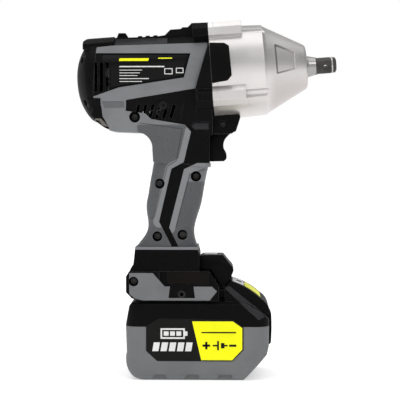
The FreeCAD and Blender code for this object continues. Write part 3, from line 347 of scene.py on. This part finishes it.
casting = cast_finish()
anvil_neck = metal("ground_steel", (0.36, 0.355, 0.35), 0.3, 900, 0.01, (8, 1, 1), 0.14).material
drive_black = metal("blackened_drive_steel", (0.075, 0.072, 0.069), 0.36, 1300, 0.03, None, 0.25).material
bright_steel = metal("bright_steel", (0.68, 0.68, 0.67), 0.26, 1200, 0.01, (1, 6, 6)).material
spring_steel = metal("spring_steel", (0.45, 0.44, 0.43), 0.34, 1600, 0.01).material
gear_steel = metal("oiled_gear_steel", (0.36, 0.35, 0.34), 0.28, 1100, 0.02).material
black_steel = metal("blackened_screw_steel", (0.035, 0.034, 0.033), 0.32, 2400, 0.02, None, 0.2).material
bronze = metal("sintered_bronze", (0.62, 0.40, 0.20), 0.45, 2600, 0.03, None, 0.12).material
lamination = metal("stacked_steel_sheets", (0.14, 0.14, 0.145), 0.45, 2000, 0.05, (1.6, 0.05, 0.05)).material
copper = metal("enamelled_copper", (0.36, 0.13, 0.06), 0.36, 2200, 0.08, (0.3, 1.4, 1.4), 0.12,
               Coat_Weight=0.5).material


def board_finish():
    """Green solder mask with copper tracks showing faintly through it."""
    finish = Finish("green_circuit_board", Coat_Weight=0.6)
    tracks = finish.node("ShaderNodeTexBrick", None, {"Vector": finish.point, "Scale": 160.0, "Mortar Size": 0.03}, 1)
    speck = finish.noise(900, 2.0)
    tone = finish.blend(tracks, srgb(10, 70, 40), srgb(26, 104, 62))
    tone = finish.blend(finish.ramp(speck, 0.68, 0.74), tone, srgb(196, 190, 172))
    finish.shape(Base_Color=tone, Roughness=finish.ramp(speck, 0.3, 0.7, 0.3, 0.42),
                 Normal=finish.bump(tracks, 0.05))
    return finish.material


board = board_finish()
seal_rubber = moulded("seal_rubber", srgb(24, 23, 23), srgb(50, 48, 46), 0.62, 1800, 0.05).material
cell_wrap = moulded("cell_wrap", srgb(38, 92, 150), srgb(96, 140, 186), 0.3, 900, 0.02, Coat_Weight=0.4).material
potting = moulded("dark_potting_resin", srgb(30, 28, 26), srgb(60, 58, 54), 0.35, 700, 0.06).material
white = moulded("white_button_plastic", srgb(232, 232, 230), srgb(250, 250, 250), 0.38, 2600, 0.02).material
lens = moulded("frosted_lens", srgb(206, 210, 212), srgb(244, 246, 248), 0.2, 1400, 0.02, Coat_Weight=0.8).material
gauge = moulded("pale_gauge_strip", srgb(186, 188, 190), srgb(220, 221, 222), 0.32, 2400, 0.02).material
yellow = moulded("yellow_label", YELLOW, srgb(255, 255, 120), 0.42, 1200, 0.01).material
label_black = moulded("black_label", srgb(13, 12, 11), srgb(36, 34, 32), 0.42, 1500, 0.01).material
print_white = moulded("white_print", srgb(226, 226, 224), srgb(244, 244, 244), 0.5, 1500, 0.005).material
print_black = moulded("black_print", srgb(16, 15, 15), srgb(30, 29, 29), 0.5, 1500, 0.005).material


# ---------------------------------------------------------------- pieces
def placed(name, mesh, body, slot, *finishes):
    """Hang a finished mesh on a body, with its finishes; its record slot is not used."""
    piece = bpy.data.objects.new(name, mesh)
    bpy.context.scene.collection.objects.link(piece)
    for finish in finishes:
        mesh.materials.append(finish)
    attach(piece, body)
    return piece


def merged(node):
    """A welded copy of a CAD node's surface, with its flat faces whole again."""
    source = frame["nodes"][node].data
    mesh = bpy.data.meshes.new(node + "_surface")
    mesh.from_pydata([v.co[:] for v in source.vertices], [], [p.vertices[:] for p in source.polygons])
    work = bmesh.new()
    work.from_mesh(mesh)
    bmesh.ops.remove_doubles(work, verts=work.verts, dist=2e-6)
    bmesh.ops.dissolve_degenerate(work, edges=work.edges, dist=1e-6)
    bmesh.ops.dissolve_limit(work, angle_limit=math.radians(0.4), use_dissolve_boundaries=False,
                             verts=work.verts, edges=work.edges)
    return mesh, work


def dressed(node, finish, slot, ease=0.0, turn=38, second=None, where=None):
    """A CAD node's surface, its long edges eased, smooth where it is curved; it stands for the node."""
    mesh, work = merged(node)
    if ease:
        edges = [e for e in work.edges if len(e.link_faces) == 2
                 and e.calc_face_angle(0) > math.radians(turn) and e.calc_length() > 2.2 * ease * MM]
        bmesh.ops.bevel(work, geom=edges, offset=ease * MM, segments=2, profile=0.5, affect="EDGES",
                        clamp_overlap=True)
    for edge in work.edges:
        edge.smooth = len(edge.link_faces) == 2 and edge.calc_face_angle(0) < math.radians(turn)
    for face in work.faces:
        face.smooth = True
        if where and where(face.calc_center_median() / MM, face.normal):
            face.material_index = 1
    work.to_mesh(mesh)
    work.free()
    extra = [second] if second else []
    piece = placed(node + "_finish", mesh, frame["nodes"][node]["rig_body"], slot, finish, *extra)
    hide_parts(node)
    return piece


def painted(finish, *nodes):
    """Give CAD nodes that are right as they stand a better material."""
    for node in nodes:
        mesh = frame["nodes"][node].data
        mesh.materials.clear()
        mesh.materials.append(finish)


def side_plate(name, points, y0, y1, body, slot, finish, ease=0.0):
    """A flat plate with a side outline of (X, Z) points, between two depths, all in millimetres."""
    work = bmesh.new()
    face = work.faces.new([work.verts.new(Vector((x, y0, z)) * MM) for x, z in points])
    pushed = bmesh.ops.extrude_face_region(work, geom=[face])
    moved = [v for v in pushed["geom"] if isinstance(v, bmesh.types.BMVert)]
    bmesh.ops.translate(work, verts=moved, vec=(0, (y1 - y0) * MM, 0))
    bmesh.ops.recalc_face_normals(work, faces=work.faces)
    if ease:
        bmesh.ops.bevel(work, geom=list(work.edges), offset=ease * MM, segments=2, profile=0.5, affect="EDGES",
                        clamp_overlap=True)
    mesh = bpy.data.meshes.new(name)
    work.to_mesh(mesh)
    work.free()
    return placed(name, mesh, body, slot, finish)


def target(*nodes):
    """The surfaces of some CAD nodes, to lay trim on."""
    points = []
    faces = []
    for node in nodes:
        mesh = frame["nodes"][node].data
        first = len(points)
        points += [v.co[:] for v in mesh.vertices]
        faces += [[first + i for i in p.vertices] for p in mesh.polygons]
    return BVHTree.FromPolygons(points, faces)


def from_side(sign):
    """Lay trim on the side at that sign of Y: its outline is in (X, Z)."""
    return lambda x, z: (Vector((x, sign * 90, z)) * MM, Vector((0, -sign, 0)))


def from_above(x, y):
    """Lay trim from above: its outline is in (X, Y)."""
    return Vector((x, y, 400)) * MM, Vector((0, 0, -1))


def laid(name, surface, outlines, cast, proud, body, slot, finish, step=2.0, sink=0.3, ease=0.0):
    """Thin trim that follows the surface under it: flat outlines cut fine, dropped on it and given depth."""
    whole = bmesh.new()
    for outline in outlines:
        work = bmesh.new()
        work.faces.new([work.verts.new((a, b, 0)) for a, b in outline])
        bmesh.ops.triangulate(work, faces=work.faces)
        for axis in (0, 1):
            values = [point[axis] for point in outline]
            cuts = int((max(values) - min(values)) / step)
            for number in range(1, cuts + 1):
                place = [0, 0, 0]
                across = [0, 0, 0]
                place[axis] = min(values) + number * (max(values) - min(values)) / (cuts + 1)
                across[axis] = 1
                bmesh.ops.bisect_plane(work, geom=work.verts[:] + work.edges[:] + work.faces[:], plane_co=place,
                                       plane_no=across, dist=1e-5)
        missed = []
        for vert in work.verts:
            start, way = cast(vert.co.x, vert.co.y)
            hit = surface.ray_cast(start, way)[0]
            if hit is None:
                missed.append(vert)
            else:
                vert.co = start + way * ((hit - start).dot(way) - proud * MM)
        bmesh.ops.delete(work, geom=missed, context="VERTS")
        pushed = bmesh.ops.extrude_face_region(work, geom=work.faces[:])
        moved = [v for v in pushed["geom"] if isinstance(v, bmesh.types.BMVert)]
        bmesh.ops.translate(work, verts=moved, vec=way * (proud + sink) * MM)
        bmesh.ops.recalc_face_normals(work, faces=work.faces)
        if ease:
            rim = [e for e in work.edges if len(e.link_faces) == 2 and e.calc_face_angle(0) > 1]
            bmesh.ops.bevel(work, geom=rim, offset=ease * MM, segments=2, profile=0.5, affect="EDGES",
                            clamp_overlap=True)
        part = bpy.data.meshes.new(name + "_part")
        work.to_mesh(part)
        work.free()
        whole.from_mesh(part)
        bpy.data.meshes.remove(part)
    for edge in whole.edges:
        edge.smooth = len(edge.link_faces) == 2 and edge.calc_face_angle(0) < 0.6
    for face in whole.faces:
        face.smooth = True
    mesh = bpy.data.meshes.new(name)
    whole.to_mesh(mesh)
    whole.free()
    return placed(name, mesh, body, slot, finish)


class Bridged:
    """A surface with its slots closed over, for trim that spans them: the highest points within 3 mm of a place."""

    def __init__(self, surface, cast, across, up):
        self.way = cast(0, 0)[1]
        self.samples = {}
        for a in range(across[0] - 3, across[1] + 4):
            for b in range(up[0] - 3, up[1] + 4):
                start, way = cast(a, b)
                hit = surface.ray_cast(start, way)[0]
                self.samples[a, b] = hit.dot(way) if hit else 1.0
        high = {k: min(self.around(self.samples, k, 1.0)) for k in self.samples}
        self.depths = {k: max(self.around(high, k, -1.0)) for k in high}

    def around(self, table, key, missing):
        near = range(-3, 4)
        found = [table.get((key[0] + i, key[1] + j)) for i in near for j in near if i * i + j * j < 10]
        return [value for value in found if value is not None] or [missing]

    def ray_cast(self, start, way):
        a, b = start.x / MM, start.z / MM
        i, j = math.floor(a), math.floor(b)
        depth = 0
        for di, share in ((0, i + 1 - a), (1, a - i)):
            for dj, part in ((0, j + 1 - b), (1, b - j)):
                depth += self.depths[i + di, j + dj] * share * part
        return (start + way * (depth - start.dot(way)),)


def bar(x0, x1, z0, z1, lean=0.0):
    """An upright bar's outline; lean shifts its top forward."""
    return [(x0, z0), (x1, z0), (x1 + lean, z1), (x0 + lean, z1)]


def hoop(x0, x1, z0, z1, width):
    """A frame's outline as four bars."""
    return [bar(x0, x1, z0, z0 + width), bar(x0, x1, z1 - width, z1), bar(x0, x0 + width, z0 + width, z1 - width),
            bar(x1 - width, x1, z0 + width, z1 - width)]


# ---------------------------------------------------------------- screws
class Web:
    """A geometry node tree with plain calls for its nodes."""

    def __init__(self, name, inputs):
        self.tree = bpy.data.node_groups.new(name, "GeometryNodeTree")
        face = self.tree.interface
        face.new_socket("Geometry", in_out="INPUT", socket_type="NodeSocketGeometry")
        self.names = {}
        for label, kind in inputs.items():
            self.names[label] = face.new_socket(label, in_out="INPUT", socket_type=kind).identifier
        face.new_socket("Geometry", in_out="OUTPUT", socket_type="NodeSocketGeometry")
        self.entry = self.tree.nodes.new("NodeGroupInput")
        self.exit = self.tree.nodes.new("NodeGroupOutput")

    def input(self, label):
        return self.entry.outputs[label]

    def node(self, kind, settings=None, inputs=None, output=0):
        made = self.tree.nodes.new(kind)
        for key, value in (settings or {}).items():
            setattr(made, key, value)
        for key, value in (inputs or {}).items():
            if isinstance(value, bpy.types.NodeSocket):
                self.tree.links.new(value, made.inputs[key])
            else:
                made.inputs[key].default_value = value
        return made.outputs[output]

    def math(self, operation, *values):
        return self.node("ShaderNodeMath", {"operation": operation}, dict(enumerate(values)))

    def pick(self, index, values):
        """One of several values, by number."""
        made = self.tree.nodes.new("GeometryNodeIndexSwitch")
        made.data_type = "FLOAT"
        while len(made.index_switch_items) < len(values):
            made.index_switch_items.new()
        self.tree.links.new(index, made.inputs[0])
        for socket, value in zip(made.inputs[1:], values):
            if isinstance(value, bpy.types.NodeSocket):
                self.tree.links.new(value, socket)
            else:
                socket.default_value = value
        return made.outputs[0]


def screw_web():
    """A six-lobe screw: turned rings from the shank's tip over the head into the socket, on every point."""
    web = Web("six_lobe_screws", {"Head Radius": "NodeSocketFloat", "Head Height": "NodeSocketFloat",
                                  "Socket Radius": "NodeSocketFloat", "Socket Depth": "NodeSocketFloat",
                                  "Shank Radius": "NodeSocketFloat", "Shank Length": "NodeSocketFloat",
                                  "Facing": "NodeSocketRotation", "Material": "NodeSocketMaterial"})
    head, height, socket, depth, shank, length = [web.input(n) for n in list(web.names)[:6]]
    times = lambda a, b: web.math("MULTIPLY", a, b)
    less = lambda a, b: web.math("SUBTRACT", a, b)
    radii = [0.0, times(shank, 0.6), shank, shank, head, head, times(head, 0.93), times(head, 0.8),
             times(socket, 1.16), socket, socket, 0.0]
    heights = [times(length, -1.0), times(length, -1.0), less(times(shank, 0.6), length), 0.0, 0.0,
               times(height, 0.5), times(height, 0.86), height, height, less(height, times(height, 0.08)),
               less(height, depth), less(height, times(depth, 1.12))]
    around = 48
    sheet = web.node("GeometryNodeMeshGrid", None, {"Size X": 1.0, "Size Y": 1.0, "Vertices X": len(radii),
                                                    "Vertices Y": around + 1})
    place = web.node("ShaderNodeSeparateXYZ", None, {0: web.node("GeometryNodeInputPosition")})
    along = web.math("ROUND", times(web.math("ADD", place, 0.5), float(len(radii) - 1)))
    index = web.node("FunctionNodeFloatToInt", None, {0: along})
    turn = times(web.math("ADD", place.node.outputs[1], 0.5), math.tau)
    lobes = times(web.math("COSINE", times(turn, 6.0)), 0.13)
    inside = web.math("GREATER_THAN", along, 8.5)
    radius = times(web.pick(index, radii), web.math("ADD", 1.0, times(lobes, inside)))
    spot = web.node("ShaderNodeCombineXYZ", None, {0: times(radius, web.math("COSINE", turn)),
                                                   1: times(radius, web.math("SINE", turn)),
                                                   2: web.pick(index, heights)})
    solid = web.node("GeometryNodeSetPosition", None, {"Geometry": sheet, "Position": spot})
    solid = web.node("GeometryNodeMergeByDistance", None, {"Geometry": solid, "Distance": 1e-7})
    spin = web.node("FunctionNodeRandomValue", {"data_type": "FLOAT"}, {"Min": 0.0, "Max": 1.05, "Seed": 4}, 1)
    turned = web.node("FunctionNodeAxisAngleToRotation", None, {"Axis": (0, 0, 1), "Angle": spin})
    facing = web.node("FunctionNodeRotateRotation", {"rotation_space": "LOCAL"}, {0: web.input("Facing"), 1: turned})
    copies = web.node("GeometryNodeInstanceOnPoints", None, {"Points": web.entry.outputs[0], "Instance": solid,
                                                             "Rotation": facing})
    real = web.node("GeometryNodeRealizeInstances", None, {0: copies})
    done = web.node("GeometryNodeSetMaterial", None, {"Geometry": real, "Material": web.input("Material")})
    web.tree.links.new(done, web.exit.inputs[0])
    return web


def islands(node):
    """The separate solids of a CAD node, as lists of points."""
    mesh, work = merged(node)
    left = set(work.verts)
    found = []
    while left:
        edge = [left.pop()]
        group = []
        while edge:
            vert = edge.pop()
            group.append(vert.co.copy())
            for link in vert.link_edges:
                other = link.other_vert(vert)
                if other in left:
                    left.remove(other)
                    edge.append(other)
        found.append(group)
    work.free()
    bpy.data.meshes.remove(mesh)
    return found


def screwed(node, way, socket_share, finish, slot):
    """Six-lobe screws in the places, and to the sizes, of a CAD node's solids; way is where the heads look."""
    way = way.normalized()
    sets = {}
    for group in islands(node):
        reach = [p.dot(way) for p in group]
        axis = Vector([(min(c) + max(c)) / 2 for c in zip(*[(p - way * p.dot(way))[:] for p in group])])
        radius = [(p - way * p.dot(way) - axis).length for p in group]
        top = max(reach)
        head = max(radius)
        shank = max(r for r, d in zip(radius, reach) if d < min(reach) + 0.35 * (top - min(reach)))
        under = min(d for r, d in zip(radius, reach) if r > head * 0.97)
        key = tuple(round(v, 5) for v in (head, top - under, shank, under - min(reach)))
        sets.setdefault(key, []).append(axis + way * under)
    parts = bmesh.new()
    for (head, height, shank, length), places in sets.items():
        dots = bpy.data.meshes.new(node + "_points")
        dots.from_pydata([p[:] for p in places], [], [])
        holder = bpy.data.objects.new(node + "_points", dots)
        bpy.context.scene.collection.objects.link(holder)
        modifier = holder.modifiers.new("screws", "NODES")
        modifier.node_group = SCREWS.tree
        values = {"Head Radius": head, "Head Height": height, "Socket Radius": head * socket_share,
                  "Socket Depth": height * 0.62, "Shank Radius": shank, "Shank Length": length,
                  "Facing": way.to_track_quat("Z", "Y").to_euler(), "Material": finish}
        for label, value in values.items():
            modifier[SCREWS.names[label]] = value
        seen = holder.evaluated_get(bpy.context.evaluated_depsgraph_get())
        made = bpy.data.meshes.new_from_object(seen)
        parts.from_mesh(made)
        holder.modifiers.clear()
        bpy.data.objects.remove(holder)
        bpy.data.meshes.remove(made)
    bmesh.ops.recalc_face_normals(parts, faces=parts.faces)
    for edge in parts.edges:
        edge.smooth = len(edge.link_faces) == 2 and edge.calc_face_angle(0) < math.radians(32)
    for face in parts.faces:
        face.smooth = True
        face.material_index = 0
    mesh = bpy.data.meshes.new(node + "_finish")
    parts.to_mesh(mesh)
    parts.free()
    piece = placed(node + "_finish", mesh, frame["nodes"][node]["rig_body"], slot, finish)
    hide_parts(node)
    return piece


painted(bronze, "nose_bush", "thrust_washer")
painted(seal_rubber, "nose_seal")
painted(gear_steel, "hammer", "spindle", "planet_gear_1", "planet_gear_2", "planet_gear_3", "ring_gear",
        "rotor_shaft")
painted(bright_steel, "cam_balls", "planet_pins", "spindle_bearing", "front_motor_bearing",
        "rear_motor_bearing", "spring_washer")
painted(spring_steel, "friction_ring")
painted(lamination, "rotor_core", "stator_core")
painted(copper, "stator_coils")
painted(board, "hall_board", "battery_board")
painted(potting, "control_board")
painted(black_fine, "cooling_fan", "switch_module", "terminal_block", "cell_holder")
painted(cell_wrap, "battery_cells")
painted(black_steel, "hook_inserts")

SCREWS = screw_web()
FORWARD = at_head(1, 0, 0) - at_head(0, 0, 0)
screwed("housing_screws", Vector((0, -1, 0)), 0.52, black_steel, "black_steel")
screwed("case_screws", FORWARD, 0.5, black_steel, "black_steel")
screwed("rear_cover_screws", -FORWARD, 0.5, black_steel, "black_steel")
screwed("battery_screws", Vector((0, 0, -1)), 0.5, black_steel, "black_steel")

ALONG = Vector((1, 0, 0))
for spring, joint, way, seat, length, travel in (
        ("trigger_spring", "trigger_pull", ALONG, Vector((-4, 0, 210)) * MM, 16, 7),
        ("release_spring", "release_press", ALONG, Vector((54, 0, 53)) * MM, 7, 3),
        ("hammer_spring", "hammer_retract", FORWARD, at_head(38.4, 0, 0), 22.1, 8)):
    coil = dressed(spring, spring_steel, "spring_steel")
    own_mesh(coil)

dressed("hammer_case", casting, "cast_aluminium", 0.0, 24)
dressed("gearbox_plate", casting, "cast_aluminium", 0.0, 30)
dressed("anvil", anvil_neck, "drive_steel", 0.0, 24, drive_black, lambda p, n: p.x > 112.0)
for side in ("right", "left"):
    dressed(side + "_frame", grey, "grey_plastic", 0.0, 30)
    dressed(side + "_grip_front", grey_front, "grey_plastic", 0.0, 30)
    dressed(side + "_housing", black, "black_plastic", 0.0, 30)
    dressed(side + "_case_guard", rubber, "black_rubber", 0.5, 38)
    dressed(side + "_foot_plate", grey_case, "grey_plastic", 0.35)
dressed("rear_cover", black, "black_plastic", 0.0, 30)
dressed("trigger", black_fine, "black_plastic", 0.9)
dressed("direction_button", dark_grey, "button_dark", 0.5)
dressed("work_light", lens, "lens", 0.4)
dressed("mode_panel", black_fine, "black_plastic", 0.8)
dressed("mode_button", white, "white_plastic", 0.4)
dressed("battery_lower_case", grey_case, "grey_plastic", 0.0, 30)
dressed("battery_upper_case", black, "black_plastic", 0.0, 30)
dressed("release_button", black_fine, "black_plastic", 0.8)
dressed("gauge_window", gauge, "gauge_grey", 0.2)
dressed("gauge_button", dark_grey, "button_dark", 0.2)


# ---------------------------------------------------------------- labels and trim
OCTAGON = [(-42.6, 26.8), (-42.6, 49.6), (-30.9, 56.4), (36, 55.1), (45.3, 48.5), (45.3, 27.9), (35.5, 17.6),
           (-32.5, 17.6)]
FLAG = [(7.2, 18.6), (-1, 53.7), (35.7, 53.7), (44.2, 47.7), (44.2, 28.3), (35.2, 18.6)]
CHARGE = hoop(-29.5, -7.5, 37.8, 47.4, 1.5) + [bar(-7.5, -5.2, 40.6, 44.6)]
CHARGE += [bar(x, x + 4.4, 40.6, 44.6) for x in (-26.6, -20.9, -15.2)]
LEVELS = [bar(-37 + 7.4 * n, -31.4 + 7.4 * n, 26.6, 34.6, 1.4) for n in range(5)]
CELL_MARK = [bar(7.4, 38.6, 43, 44.2), bar(8.4, 15.2, 30.8, 32.8), bar(10.8, 12.8, 28.4, 35.2),
             bar(17.6, 21.6, 31.1, 32.5), bar(21.6, 23.2, 27.6, 36), bar(25, 28.2, 29.4, 34.2),
             bar(28.2, 31, 31.1, 32.5), bar(32.4, 38.8, 30.8, 32.8)]
PLATE = [(-82, 293.6), (-5.2, 293.4), (-10.6, 275), (-66.4, 266.2), (-82, 262.4)]
PLATE_HEAD = [bar(-67, -40.5, 288, 290.6, 0.6), bar(-31.5, -19, 290, 291)]
ROWS = ((282.4, -26, 1.1), (279.5, -46, 0.6), (277, -48, 0.6), (274.6, -50, 0.6), (271.8, -40, 0.7),
        (269.3, -46, 0.6))
PLATE_ROWS = [bar(-66.4, end, z, z + tall) for z, end, tall in ROWS] + hoop(-26, -18.6, 276, 281.4, 0.7)
PLATE_ROWS += hoop(-15.6, -8.8, 277, 281.8, 0.7)
STRUT = [(28.4, 82.6), (32.6, 84.4), (61.4, 62.4), (65, 58), (59, 55)]
NOTCHES = [[(x - 1.6, 0.6), (x - 0.6, 5.3), (x + 11.6, 5.3), (x + 12.6, 0.6)] for x in (-36, -6.8, 22.6)]
SADDLE = [(-24, 97.2), (14, 97.2), (14, 86.2), (1.6, 86.2), (0.8, 87.6), (-21.6, 87.6), (-24, 89)]
CHEEK = [(16.2, 100.6), (23.6, 104.4), (27.4, 101.8), (30.4, 97), (29.4, 90.8), (25.8, 86.8), (19.6, 84.2),
         (16.4, 90.4)]
CAP = [(-27.4 + 3.9 * math.cos(a * math.tau / 20), 248.6 + 3.9 * math.sin(a * math.tau / 20)) for a in range(20)]
CAP_SOCKET = [(-27.4 + 2 * math.cos(a * math.tau / 6), 248.6 + 2 * math.sin(a * math.tau / 6)) for a in range(6)]
BUMPER = [(-98, 254.6), (-83.9, 254.6), (-83.9, 237.6), (-97, 237.6)]
FACET = [(-95.6, 237), (-84.5, 236.9), (-77.8, 229.4), (-84.5, 230.6), (-92.6, 235)]
SHADE = [(-82.8, 252), (-62.7, 252), (-62.7, 246.4), (-80.6, 245.9)]
RIDGE_SIDE = [(-72, 303.2), (-24, 304.6), (-24, 310.4), (-72, 309.2)]
VENT_BAR = bar(-12.4, -10.6, 236, 253, 2.4)
# outline of the black sheet that stands for the shade behind the vents
VENT_SHADE_SHEET = [(-60, 229), (-18, 231), (-18, 246), (-31, 246), (-33, 241), (-60, 240)]

CHIN_LINER = [(16, 222.15), (31.4, 222.15), (33.4, 223.6), (18.6, 223.3)]
BUTTON_FLANGE = [(-2.8, 230.1), (0.8, 233.6), (14.2, 233.6), (14.2, 226.2), (0.6, 226.2)]

for side, sign in (("right", -1), ("left", 1)):
    look = from_side(sign)
    shell = target("battery_lower_case", "battery_upper_case")
    head = target(side + "_housing", side + "_frame", side + "_case_guard", "rear_cover")
    side_plate(side + "_battery_label", OCTAGON, sign * 38.2, sign * 38.95, "battery", "black_plastic", label_black,
               0.2)
    side_plate(side + "_battery_flag", FLAG, sign * 38.9, sign * 39.1, "battery", "black_plastic", yellow)
    mark = lambda name, outlines, depth, finish: [
        side_plate(f"{side}_{name}_{n}", outline, sign * 38.8, sign * depth, "battery", "black_plastic", finish)
        for n, outline in enumerate(outlines)]
    mark("charge_mark", CHARGE + LEVELS, 39.12, print_white)
    mark("cell_mark", CELL_MARK, 39.26, print_black)
    laid(side + "_rating_plate", head, [PLATE], look, 0.25, "tool", "black_plastic", gloss_black)
    laid(side + "_plate_heading", head, PLATE_HEAD, look, 0.34, "tool", "black_plastic", yellow)
    laid(side + "_plate_rows", head, PLATE_ROWS, look, 0.34, "tool", "black_plastic", print_white)
    laid(side + "_battery_strut", shell, [STRUT], look, 0.7, "battery", "black_plastic", strut_grey, 0.8)
    laid(side + "_rear_bumper", head, [BUMPER], look, 0.8, "tool", "black_rubber", rubber, ease=0.3)
    laid(side + "_rear_facet", head, [FACET], look, 0.3, "tool", "black_plastic", smoke)
    laid(side + "_vent_bar", head, [VENT_BAR], look, 0.7, "tool", "black_plastic", black, ease=0.2)
    bridged = Bridged(head, look, (-34, -20), (242, 255))
    laid(side + "_vent_cap", bridged, [CAP], look, 0.5, "tool", "black_plastic", gloss_black, 1.0, 1.2, 0.2)
    laid(side + "_vent_cap_socket", bridged, [CAP_SOCKET], look, 0.7, "tool", "black_plastic", black, 1.0, 1.0)
    laid(side + "_frame_shade", target(side + "_frame"), [SHADE], look, 0.12, "tool", "grey_plastic", grey_shade)
    laid(side + "_saddle_panel", head, [SADDLE], look, 0.4, "tool", "black_plastic", dusk, ease=0.15)
    laid(side + "_panel_cheek", target("mode_panel"), [CHEEK], look, 0.8, "tool", "black_plastic", black_fine,
         ease=0.35)
    # the bottom notches drawn darker: painted shade in the recesses
    laid(side + "_battery_notches", shell, NOTCHES, look, 0.15, "battery", "grey_plastic", grey_shade)
    laid(side + "_ridge_facet", head, [RIDGE_SIDE], look, 0.25, "tool", "black_plastic", dark_grey)

# a thin black sheet behind the vent slots, standing for the shade inside them
side_plate("vent_screen", VENT_SHADE_SHEET, 0.4, 1.0, "tool", "black_plastic", black)
side_plate("chin_liner", CHIN_LINER, -14, 14, "tool", "black_plastic", black)
side_plate("direction_flange", BUTTON_FLANGE, -5, 5, "direction_button", "button_dark", dark_grey)
crown = target("battery_upper_case", "release_button", "gauge_window")
laid("crown_strip_grey", crown, [bar(35.5, 45.8, -20, 20)], from_above, 0.25, "battery", "grey_plastic", print_white)
laid("crown_strip_yellow", crown, [bar(46.6, 61, -20, 20)], from_above, 0.3, "battery", "black_plastic", yellow,
     ease=0.1)


# ---------------------------------------------------------------- stage, lights and camera
def floor():
    """A wide flat pale disc under the tool."""
    work = bmesh.new()
    bmesh.ops.create_circle(work, cap_ends=True, radius=30.0, segments=96)
    mesh = bpy.data.meshes.new("studio_floor")
    work.to_mesh(mesh)
    work.free()
    disc = bpy.data.objects.new("studio_floor", mesh)
    bpy.context.scene.collection.objects.link(disc)
    paper = Finish("pale_studio_paper", Roughness=1.0, Specular_IOR_Level=0.0, Emission_Strength=0.42)
    paper.shape(Emission_Color=(1.0, 1.0, 1.0))
    cloud = paper.ramp(paper.noise(3.0), 0.2, 0.8)
    paper.shape(Base_Color=paper.blend(cloud, (0.90, 0.90, 0.90), (0.93, 0.93, 0.93)))
    mesh.materials.append(paper.material)


def room():
    """A soft white room: bright at eye level and overhead, dim between the two and ahead of the tool."""
    world = bpy.data.worlds.new("soft_white_room")
    world.use_nodes = True
    tree = world.node_tree
    place = tree.nodes.new("ShaderNodeTexCoord")
    split = tree.nodes.new("ShaderNodeSeparateXYZ")
    ramp = tree.nodes.new("ShaderNodeValToRGB")
    ahead = tree.nodes.new("ShaderNodeMapRange")
    ahead.interpolation_type = "SMOOTHSTEP"
    both = tree.nodes.new("ShaderNodeMath")
    both.operation = "MULTIPLY"
    tree.links.new(place.outputs["Generated"], split.inputs[0])
    tree.links.new(split.outputs["Z"], ramp.inputs[0])
    tree.links.new(split.outputs["X"], ahead.inputs[0])
    for socket, value in zip(ahead.inputs[1:5], (0.3, 0.8, 1.0, 0.55)):
        socket.default_value = value
    stops = ((0.0, 1.0), (0.16, 1.0), (0.32, 0.5), (0.66, 0.42), (0.84, 1.0), (0.95, 1.9), (1.0, 2.0))
    ramp.color_ramp.interpolation = "EASE"
    while len(ramp.color_ramp.elements) < len(stops):
        ramp.color_ramp.elements.new(0.5)
    for element, (at, level) in zip(ramp.color_ramp.elements, stops):
        element.position = at
        element.color = (level, level, level, 1)
    tree.links.new(ramp.outputs[0], both.inputs[0])
    tree.links.new(ahead.outputs[0], both.inputs[1])
    back = tree.nodes["Background"]
    back.inputs[0].default_value = (1, 1, 1, 1)
    tree.links.new(both.outputs[0], back.inputs[1])
    bpy.context.scene.world = world


def lamp(name, place, aim, size, power, tint=(1, 1, 1)):
    light = bpy.data.lights.new(name, "AREA")
    light.shape = "RECTANGLE"
    light.size, light.size_y = size
    light.energy = power
    light.color = tint
    holder = bpy.data.objects.new(name, light)
    holder.location = place
    holder.rotation_euler = (Vector(aim) - Vector(place)).to_track_quat("-Z", "Y").to_euler()
    bpy.context.scene.collection.objects.link(holder)


floor()
room()
bpy.context.scene.view_settings.view_transform = "Standard"
lamp("key_light", (0.75, -1.3, 1.35), (0.05, 0, 0.27), (0.5, 0.5), 5)
lamp("rim_light", (-1.6, -0.5, 1.0), (0, 0, 0.2), (0.8, 1.2), 2)

camera = bpy.data.cameras.new("product_camera")
camera.lens = 106.4
camera.sensor_width = 36
eye = bpy.data.objects.new("product_camera", camera)
eye.location = (0.0312, -1.1, 0.1963)
eye.rotation_euler = (Vector((0.0052, 0, 0.1619)) - eye.location).to_track_quat("-Z", "Y").to_euler()
bpy.context.scene.collection.objects.link(eye)
bpy.context.scene.camera = eye
